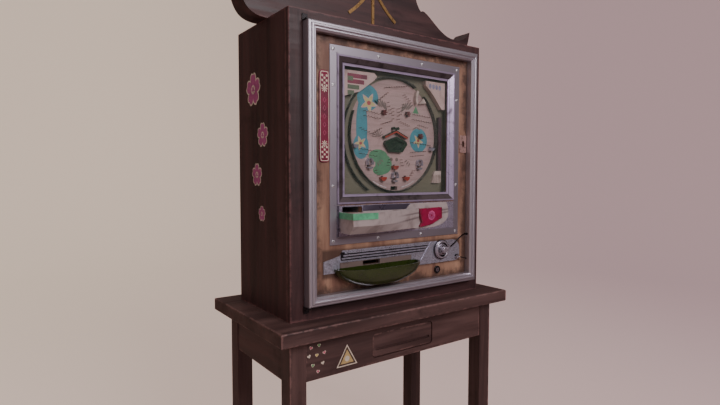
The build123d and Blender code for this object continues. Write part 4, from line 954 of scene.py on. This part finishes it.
class PACHINKO_OT_playfield_print(bpy.types.Operator):
    """Printed board with its patches, stars and corner cards"""

    bl_idname = "pachinko.playfield_print"
    bl_label = "Playfield Print"

    def execute(self, context):
        tint = context.scene.pachinko_print
        layer = context.scene.pachinko_hardware.print_thickness
        dress(board_finish("playfield_ply", tint.ground, tint.surround), "playfield_board")

        teal = (
            (-114, 120, 44, 43, 48, 1.0), (-139, 22, 23, 100, 48, 0.9),
            (-142, -42, 32, 42, 48, 0.8), (114, -12, 42, 43, 48, 1.0),
        )
        green = (
            (-70, -72, 40, 22, 40, 1.1), (-46, -100, 36, 34, 40, 1.0),
            (-62, -120, 30, 18, 40, 0.9), (100, 92, 17, 17, 3, 1.0),
        )
        patches = (
            ("print_teal_patches", "print_teal", tint.teal, 0.62, teal),
            ("print_green_hills", "print_green", tint.green, 0.6, green),
        )
        for piece, paint, tone, share, shapes in patches:
            bm = bmesh.new()
            for across, up, width, height, points, layers in shapes:
                cut_out(bm, on_board(across, up), ellipse(width, height), points, layer * layers)
            add_piece(
                piece, bm, "main_door", plastic(paint, tone, dim(tone, share), 0.3, 26.0)
            )

        bm = bmesh.new()
        for across, up, size, turn in ((-110, 103, 37, 8), (-144, -32, 26, -14), (112, -14, 26, 6)):
            cut_out(bm, on_board(across, up), star(size), 60, layer * 2, turned=radians(turn), index=0)
            cut_out(bm, on_board(across, up), star(size * 0.8), 60, layer * 3, turned=radians(turn), index=1)
            cut_out(bm, on_board(across, up), ellipse(size * 0.22, size * 0.2), 24, layer * 4, index=2)
        edge = plastic("print_star_edge", tint.star_edge, dim(tint.star_edge, 0.7), 0.3, 40.0)
        body = plastic("print_star_body", tint.star, dim(tint.star, 0.6), 0.3, 40.0)
        eye = plastic("print_star_eye", linear(190, 92, 96), linear(120, 60, 60), 0.3, 40.0)
        add_piece("print_stars", bm, "main_door", [edge, body, eye])

        self.faded_figures(layer)
        self.cards(layer)
        return {"FINISHED"}

    def faded_figures(self, layer):
        """Fans, small wheels and the winged shapes of the print, in faded grey and brown."""
        bm = bmesh.new()
        for side in (-1, 1):
            for feather in range(5):
                place = on_board(side * (38 + feather * 9), 104 + feather * 1.5 - abs(feather - 2) * 3)
                cut_out(bm, place, ellipse(3.4, 17), 20, layer, turned=radians(-side * (16 + feather * 9)))
        for rib in range(7):
            angle = radians(180 - rib * 26)
            place = on_board(-71 + 15 * cos(angle), 1 + 15 * sin(angle) - 8)
            cut_out(bm, place, ellipse(12, 1.7), 16, layer, turned=angle)
        for spot in ((-12, -83), (12, -83)):
            cut_out(bm, on_board(*spot), ellipse(6.5, 6.5), 24, layer * 1.6)
        for side in (-1, 1):
            for stroke in range(3):
                cut_out(
                    bm, on_board(side * (54 + stroke * 8), -88 - stroke * 6), ellipse(8, 2.2), 16,
                    layer * 1.7, turned=radians(side * (30 + stroke * 16)),
                )
        for side in (-1, 1):
            cut_out(
                bm, on_board(104 + side * 9, 30), ellipse(11, 2.4), 16, layer * 1.9,
                turned=radians(-side * 24),
            )
        for side in (-1, 1):
            for piece in range(4):
                turn = radians(270 + side * (13 + piece * 5))
                place = on_board(183 * cos(turn), 183 * sin(turn))
                cut_out(bm, place, ellipse(8.4, 1.5), 16, layer * 1.4, turned=turn + pi / 2, index=1)
        arc = plastic("print_arc", linear(222, 214, 218), linear(160, 150, 150), 0.35, 40.0)
        faded = plastic("print_faded", linear(128, 112, 106), linear(96, 80, 76), 0.35, 40.0)
        add_piece("print_faded_figures", bm, "main_door", [faded, arc])

    def cards(self, layer):
        """Stripes and border of the corner cards, and a label without words."""
        card = plastic("card_cream", linear(206, 178, 172), linear(160, 132, 126), 0.4, 18.0)
        dress(card, "corner_cards")
        lift = playfield_centre().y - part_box("corner_cards")[0].y
        bm = bmesh.new()
        start = -208
        rows = ((183, 78, 0, 1), (165, 66, 0, 1), (147, 46, 1, 1), (129, 26, 1, 1), (174, 22, 1, 1.4))
        for up, width, index, layers in rows:
            cut_out(
                bm, on_board(start + width / 2, up - 1, lift), block(width / 2, 7), 8, layer * layers,
                index=index,
            )
        red = plastic("card_red", linear(140, 62, 84), linear(96, 44, 60), 0.35, 30.0)
        green = plastic("card_green", linear(104, 116, 92), linear(74, 84, 66), 0.35, 30.0)
        add_piece("card_stripes", bm, "main_door", [red, green])
        bm = bmesh.new()
        for step in range(4):
            cut_out(bm, on_board(154 + step * 16, 184 - step, lift), ellipse(6.4, 9), 24, layer, index=0)
        lilac = plastic("card_lilac", linear(150, 146, 172), linear(112, 106, 130), 0.35, 30.0)
        add_piece("card_beads", bm, "main_door", lilac)


class PACHINKO_OT_nails(bpy.types.Operator):
    """Round-headed brass nails, one for each pin of the playfield"""

    bl_idname = "pachinko.nails"
    bl_label = "Playfield Nails"

    def execute(self, context):
        sizes = context.scene.pachinko_hardware
        bm = bmesh.new()
        for across, up, front, back in clusters("nails", 2.6 * MM):
            deep = back - front
            shank = bmesh.ops.create_cone(
                bm, cap_ends=True, segments=8, radius1=sizes.nail_radius, radius2=sizes.nail_radius,
                depth=deep - 0.4 * MM,
            )
            place = facing(across, (front + back) / 2, up)
            bmesh.ops.transform(bm, matrix=place, verts=shank["verts"])
            head = bmesh.ops.create_uvsphere(bm, u_segments=10, v_segments=6, radius=sizes.nail_head)
            bmesh.ops.scale(bm, vec=(1, 1, NAIL_FLATNESS), verts=head["verts"])
            bmesh.ops.transform(bm, matrix=facing(across, front + 0.8 * MM, up), verts=head["verts"])
        brass = metal(
            "nail_brass", linear(112, 92, 80), linear(44, 32, 30), 120.0, 0.6, metallic=0.8, shine=0.04
        )
        add_piece("nail_set", bm, "main_door", brass, replaces=("nails",), smooth=40)
        return {"FINISHED"}


class PACHINKO_OT_screws(bpy.types.Operator):
    """Domed screws around the bezel, with their slots drawn as dark bars in painted shade"""

    bl_idname = "pachinko.screws"
    bl_label = "Bezel Screws"

    def execute(self, context):
        slot = context.scene.pachinko_hardware.screw_slot
        bm = bmesh.new()
        for number, (across, up, front, back) in enumerate(clusters("bezel_screws", 6 * MM)):
            base = facing(across, back, up)
            dome = bmesh.ops.create_uvsphere(bm, u_segments=24, v_segments=14, radius=SCREW_RADIUS)
            bmesh.ops.scale(bm, vec=(1, 1, SCREW_FLATNESS), verts=dome["verts"])
            edges = (e for v in dome["verts"] for e in v.link_edges)
            faces = (f for v in dome["verts"] for f in v.link_faces)
            whole = list({*dome["verts"], *edges, *faces})
            cut = bmesh.ops.bisect_plane(
                bm, geom=whole, plane_co=(0, 0, 0), plane_no=(0, 0, -1), clear_outer=True
            )
            rim_edges = [g for g in cut["geom_cut"] if isinstance(g, bmesh.types.BMEdge)]
            bmesh.ops.holes_fill(bm, edges=rim_edges)
            verts = {v for f in bm.faces for v in f.verts if v.co.length < 5 * MM}
            bmesh.ops.transform(bm, matrix=base, verts=list(verts))
            # Painted shade: a dark bar on the dome stands for the shaded slot.
            bar = bmesh.ops.create_cube(bm, size=1.0)
            bmesh.ops.scale(bm, vec=(5.6 * MM, slot, 0.5 * MM), verts=bar["verts"])
            bmesh.ops.rotate(
                bm, cent=(0, 0, 0), matrix=Matrix.Rotation(number * 1.1, 3, "Z"), verts=bar["verts"]
            )
            bmesh.ops.transform(bm, matrix=facing(across, front + 0.25 * MM, up), verts=bar["verts"])
            for face in {f for v in bar["verts"] for f in v.link_faces}:
                face.material_index = 1
        steel = metal(
            "screw_steel", linear(240, 236, 246), linear(150, 136, 142), 120.0, 0.3, metallic=0.8, shine=0.16
        )
        dark = metal("screw_slot_shade", linear(40, 34, 36), linear(20, 16, 18), 120.0, 0.5)
        add_piece(
            "bezel_screw_set", bm, "main_door", [steel, dark], replaces=("bezel_screws",),
            smooth=40,
        )
        return {"FINISHED"}


class PACHINKO_OT_stickers(bpy.types.Operator):
    """Blossoms on the cabinet's left side, hearts and a triangle on the apron"""

    bl_idname = "pachinko.stickers"
    bl_label = "Stickers"

    def execute(self, context):
        tint = context.scene.pachinko_print
        side_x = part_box("cabinet_sides")[0].x
        front_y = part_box("front_surround")[0].y
        base_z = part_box("cabinet_sides")[0].z
        edge = plastic("sticker_edge", tint.sticker_edge, dim(tint.sticker_edge, 0.72), 0.3, 30.0)
        pink = plastic("sticker_blossom", tint.blossom, dim(tint.blossom, 0.7), 0.28, 30.0)
        heart_pink = plastic("sticker_pink", linear(222, 96, 128), linear(160, 64, 92), 0.3, 40.0)
        heart_green = plastic("sticker_green", linear(110, 170, 110), linear(70, 120, 76), 0.3, 40.0)
        heart_yellow = plastic("sticker_yellow", linear(226, 196, 96), linear(168, 138, 64), 0.3, 40.0)
        gold = plastic("sticker_gold", linear(206, 176, 120), linear(150, 118, 76), 0.3, 40.0)
        brown = plastic("sticker_brown", linear(82, 60, 50), linear(56, 40, 36), 0.35, 40.0)

        bm = bmesh.new()
        for depth, height, size in ((253, 732, 116), (183, 577, 84), (229, 448, 80), (193, 320, 54)):
            middle_place = Matrix.Translation((side_x, front_y + depth * MM, base_z + height * MM)) @ TO_LEFT
            for number in range(5):
                turn = Matrix.Rotation(2 * pi * number / 5, 4, "Z")
                out = Matrix.Translation((0, size * 0.27 * MM, 0))
                cut_out(
                    bm, middle_place @ turn @ out, petal_edge(size * 0.235), 28, (0.30 + number * 0.01) * MM,
                    index=0,
                )
                cut_out(bm, middle_place @ turn @ out, petal_edge(size * 0.19), 28, 0.42 * MM, index=1)
            cut_out(bm, middle_place, ellipse(size * 0.13, size * 0.13), 24, 0.50 * MM, index=0)
            cut_out(bm, middle_place, star(size * 0.12), 40, 0.58 * MM, index=1)
        add_piece("sticker_blossoms", bm, "cabinet", [edge, pink], replaces=("stickers",))

        apron_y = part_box("apron_front")[0].y
        top_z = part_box("stand_top")[1].z
        bm = bmesh.new()
        hearts = (
            (-367, -72, 1), (-339, -69, 2), (-374, -97, 0), (-347, -98, 3), (-320, -95, 1), (-361, -127, 2),
            (-326, -126, 0), (-343, -149, 1),
        )
        for number, (across, up, index) in enumerate(hearts):
            place = facing(across * MM, apron_y, top_z + up * MM)
            cut_out(bm, place, heart(13), 40, 0.40 * MM, turned=radians(number * 23 % 50 - 25), index=0)
            cut_out(bm, place, heart(9.6), 40, 0.52 * MM, turned=radians(number * 23 % 50 - 25), index=index)
        add_piece("sticker_hearts", bm, "cabinet", [edge, heart_pink, heart_green, heart_yellow])

        bm = bmesh.new()
        place = facing(-236 * MM, apron_y, top_z - 132 * MM)
        for radius, thickness, index in ((46, 0.40, 0), (39, 0.50, 1), (29, 0.58, 2)):
            cut_out(bm, place, ellipse(radius, radius), 3, thickness * MM, index=index)
        cut_out(bm, place, ellipse(9, 9), 24, 0.66 * MM, index=0)
        add_piece("sticker_triangle", bm, "cabinet", [edge, brown, gold])
        return {"FINISHED"}


class PACHINKO_OT_ornament(bpy.types.Operator):
    """Ornament on the side badge, an emblem on the feed cover and a chevron roof on the centrepiece"""

    bl_idname = "pachinko.ornament"
    bl_label = "Badge And Emblems"

    def execute(self, context):
        tint = context.scene.pachinko_print
        pale = plastic("badge_cream", tint.sticker_edge, dim(tint.sticker_edge, 0.7), 0.3, 30.0)
        crimson = plastic("badge_crimson", linear(140, 40, 70), linear(88, 22, 44), 0.25, 20.0, coat=0.4)
        dress(crimson, "side_badge")
        badge = middle("side_badge")
        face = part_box("side_badge")[0].y
        bm = bmesh.new()

        def on_badge(up, across=0.0):
            return facing(badge.x + across * MM, face, badge.z + up * MM)

        def rounded(width, height, corner):
            """Edge of a rounded bar, in millimetres, as a superellipse."""
            power = 2.0 / corner
            return lambda a: (
                width * MM * abs(cos(a)) ** power * sign(cos(a)),
                height * MM * abs(sin(a)) ** power * sign(sin(a)),
            )

        cut_out(bm, on_badge(0), rounded(16.4, 137, 9), 120, 0.12 * MM, index=0)
        cut_out(bm, on_badge(0), rounded(14.2, 134.6, 9), 120, 0.24 * MM, index=1)
        for row in range(5):
            for column in range(3):
                if (row + column) % 2 == 0:
                    for end in (-1, 1):
                        place = on_badge(end * (124 - row * 7.5), (column - 1) * 8)
                        cut_out(bm, place, ellipse(4.2, 4.6), 4, 0.36 * MM, turned=radians(45), index=0)
        for up in (84, -84):
            for petal in range(8):
                turn = Matrix.Rotation(2 * pi * petal / 8, 4, "Z") @ Matrix.Translation((0, 7.0 * MM, 0))
                cut_out(bm, on_badge(up) @ turn, ellipse(1.5, 4.6), 16, 0.36 * MM, index=0)
            cut_out(bm, on_badge(up), ellipse(2.0, 2.0), 16, 0.42 * MM, index=0)
        for up in (50, 25, 0, -25, -50):
            cut_out(bm, on_badge(up), ellipse(6.0, 8.5), 4, 0.32 * MM, index=2)
            cut_out(bm, on_badge(up), ellipse(4.4, 6.4), 4, 0.38 * MM, index=1)
        faint = plastic("badge_faint", linear(186, 92, 122), linear(130, 50, 80), 0.25, 30.0)
        add_piece("badge_ornament", bm, "main_door", [pale, crimson, faint])

        low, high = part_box("feed_cover")
        bm = bmesh.new()
        for ray in range(8):
            turn = Matrix.Rotation(2 * pi * ray / 8, 4, "Z") @ Matrix.Translation((0, 11 * MM, 0))
            place = facing((low.x + high.x) / 2 + 2 * MM, low.y, (low.z + high.z) / 2 + 6 * MM)
            cut_out(bm, place @ turn, petal_edge(7), 20, 0.3 * MM)
        glow = plastic("emblem_pink", linear(228, 104, 160), linear(170, 60, 110), 0.25, 40.0)
        add_piece("cover_emblem", bm, "tray_door", glow)

        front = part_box("centrepiece")[0].y
        bm = bmesh.new()
        lift = playfield_centre().y - front
        for side in (-1, 1):
            place = on_board(side * 25, 1.5, lift)
            cut_out(bm, place, block(27, 2.6), 8, 0.6 * MM, turned=radians(-side * 23))
        red = plastic("roof_red", linear(176, 72, 60), linear(110, 40, 38), 0.25, 40.0)
        add_piece("centrepiece_roof", bm, "main_door", red)
        return {"FINISHED"}


class PACHINKO_OT_stage(bpy.types.Operator):
    """Seamless pale backdrop, soft lights and the camera"""

    bl_idname = "pachinko.stage"
    bl_label = "Stage"

    def execute(self, context):
        look = context.scene.pachinko_stage
        self.backdrop(look)
        self.lamp("key_light", (0.3, -4.0, 3.2), (0, 0, 1.2), 2.2, look.key_power, (1.0, 0.95, 0.98))
        self.lamp("fill_light", (-3.4, -1.6, 2.0), (0, 0, 1.1), 2.6, look.fill_power, (0.98, 0.94, 1.0))
        self.lamp("top_light", (-0.4, 0.4, 4.2), (0, 0, 1.0), 2.0, look.fill_power * 1.4, (1.0, 0.97, 0.95))
        world = bpy.data.worlds.new("studio")
        world.use_nodes = True
        world.node_tree.nodes["Background"].inputs[0].default_value = opaque(linear(196, 178, 176))
        world.node_tree.nodes["Background"].inputs[1].default_value = 0.22
        context.scene.world = world
        data = bpy.data.cameras.new("camera")
        data.lens = look.lens
        data.sensor_width = CAMERA_SENSOR
        camera = bpy.data.objects.new("camera", data)
        camera.location = CAMERA_PLACE
        camera.rotation_euler = CAMERA_TURN
        context.scene.collection.objects.link(camera)
        context.scene.camera = camera
        return {"FINISHED"}

    def backdrop(self, look):
        """A round floor whose edge curves up into a wall all round, so no corner shows."""
        bm = bmesh.new()
        profile = [(MM, 0, 0), (FLOOR_RADIUS, 0, 0)]
        for step in range(1, CURVE_STEPS + 1):
            angle = radians(step * 90 / CURVE_STEPS)
            profile.append(
                (FLOOR_RADIUS + FLOOR_CURVE * sin(angle), 0, FLOOR_CURVE - FLOOR_CURVE * cos(angle))
            )
        profile.append((FLOOR_RADIUS + FLOOR_CURVE, 0, WALL_TOP))
        profile = [bm.verts.new(corner) for corner in profile]
        edges = [bm.edges.new(pair) for pair in zip(profile, profile[1:])]
        bmesh.ops.spin(
            bm, geom=profile + edges, cent=(0, 0, 0), axis=(0, 0, 1), angle=2 * pi, steps=64, use_merge=True
        )
        bmesh.ops.remove_doubles(bm, verts=bm.verts, dist=0.002)
        mesh = bpy.data.meshes.new("backdrop")
        bm.to_mesh(mesh)
        bm.free()
        mesh.polygons.foreach_set("use_smooth", [True] * len(mesh.polygons))
        backdrop = bpy.data.objects.new("backdrop", mesh)
        bpy.context.scene.collection.objects.link(backdrop)
        shade, position = blank("backdrop_paper")
        across, back, _ = shade.split(position)
        turned = shade.less(shade.times(across, 0.81), shade.times(back, 0.58))
        share = shade.band(turned, -4.5, 3.5)
        tone = shade.mix(share, opaque(look.floor_left), opaque(look.floor_right))
        weave = shade.noise(position, 60.0, 3.0, 0.6)
        paper = finish(
            shade, "backdrop_paper", tone, shade.band(weave, 0.3, 0.7, 0.8, 0.95), height=weave, bump=0.02
        )
        shader = next(node for node in shade.tree.nodes if node.type == "BSDF_PRINCIPLED")
        shade.tree.links.new(tone, shader.inputs["Emission Color"])
        seen = shade.node("ShaderNodeLightPath").outputs["Is Camera Ray"]
        shade.tree.links.new(shade.times(seen, look.glow), shader.inputs["Emission Strength"])
        mesh.materials.append(paper)

    def lamp(self, name, place, target, size, power, tint):
        """A square soft light that looks at a target."""
        data = bpy.data.lights.new(name, "AREA")
        data.energy = power
        data.size = size
        data.color = tint
        lamp = bpy.data.objects.new(name, data)
        lamp.location = place
        lamp.rotation_euler = (Vector(target) - Vector(place)).to_track_quat("-Z", "Y").to_euler()
        bpy.context.scene.collection.objects.link(lamp)


class PACHINKO_PT_panel(bpy.types.Panel):
    """Sidebar panel with one button for each part of the dressing"""

    bl_idname = "PACHINKO_PT_panel"
    bl_label = "Pachinko Machine"
    bl_space_type = "VIEW_3D"
    bl_region_type = "UI"
    bl_category = "Pachinko"

    def draw(self, context):
        for operator in OPERATORS:
            self.layout.operator(operator.bl_idname)


OPERATORS = (
    PACHINKO_OT_woodwork,
    PACHINKO_OT_metalwork,
    PACHINKO_OT_mouldings,
    PACHINKO_OT_window,
    PACHINKO_OT_playfield_print,
    PACHINKO_OT_nails,
    PACHINKO_OT_screws,
    PACHINKO_OT_stickers,
    PACHINKO_OT_ornament,
    PACHINKO_OT_stage,
)
SETTINGS = {
    "pachinko_wood": WoodSettings,
    "pachinko_print": PrintSettings,
    "pachinko_hardware": HardwareSettings,
    "pachinko_stage": StageSettings,
}


def register():
    for kind in (*SETTINGS.values(), *OPERATORS, PACHINKO_PT_panel):
        bpy.utils.register_class(kind)
    for name, kind in SETTINGS.items():
        setattr(bpy.types.Scene, name, PointerProperty(type=kind))


def unregister():
    for name in SETTINGS:
        delattr(bpy.types.Scene, name)
    for kind in (PACHINKO_PT_panel, *reversed(OPERATORS), *reversed(SETTINGS.values())):
        bpy.utils.unregister_class(kind)


def main():
    """Dresses the whole machine."""
    register()
    for operator in OPERATORS:
        group, name = operator.bl_idname.split(".")
        getattr(getattr(bpy.ops, group), name)()
    bpy.context.view_layer.update()


if __name__ == "__main__":
    main()
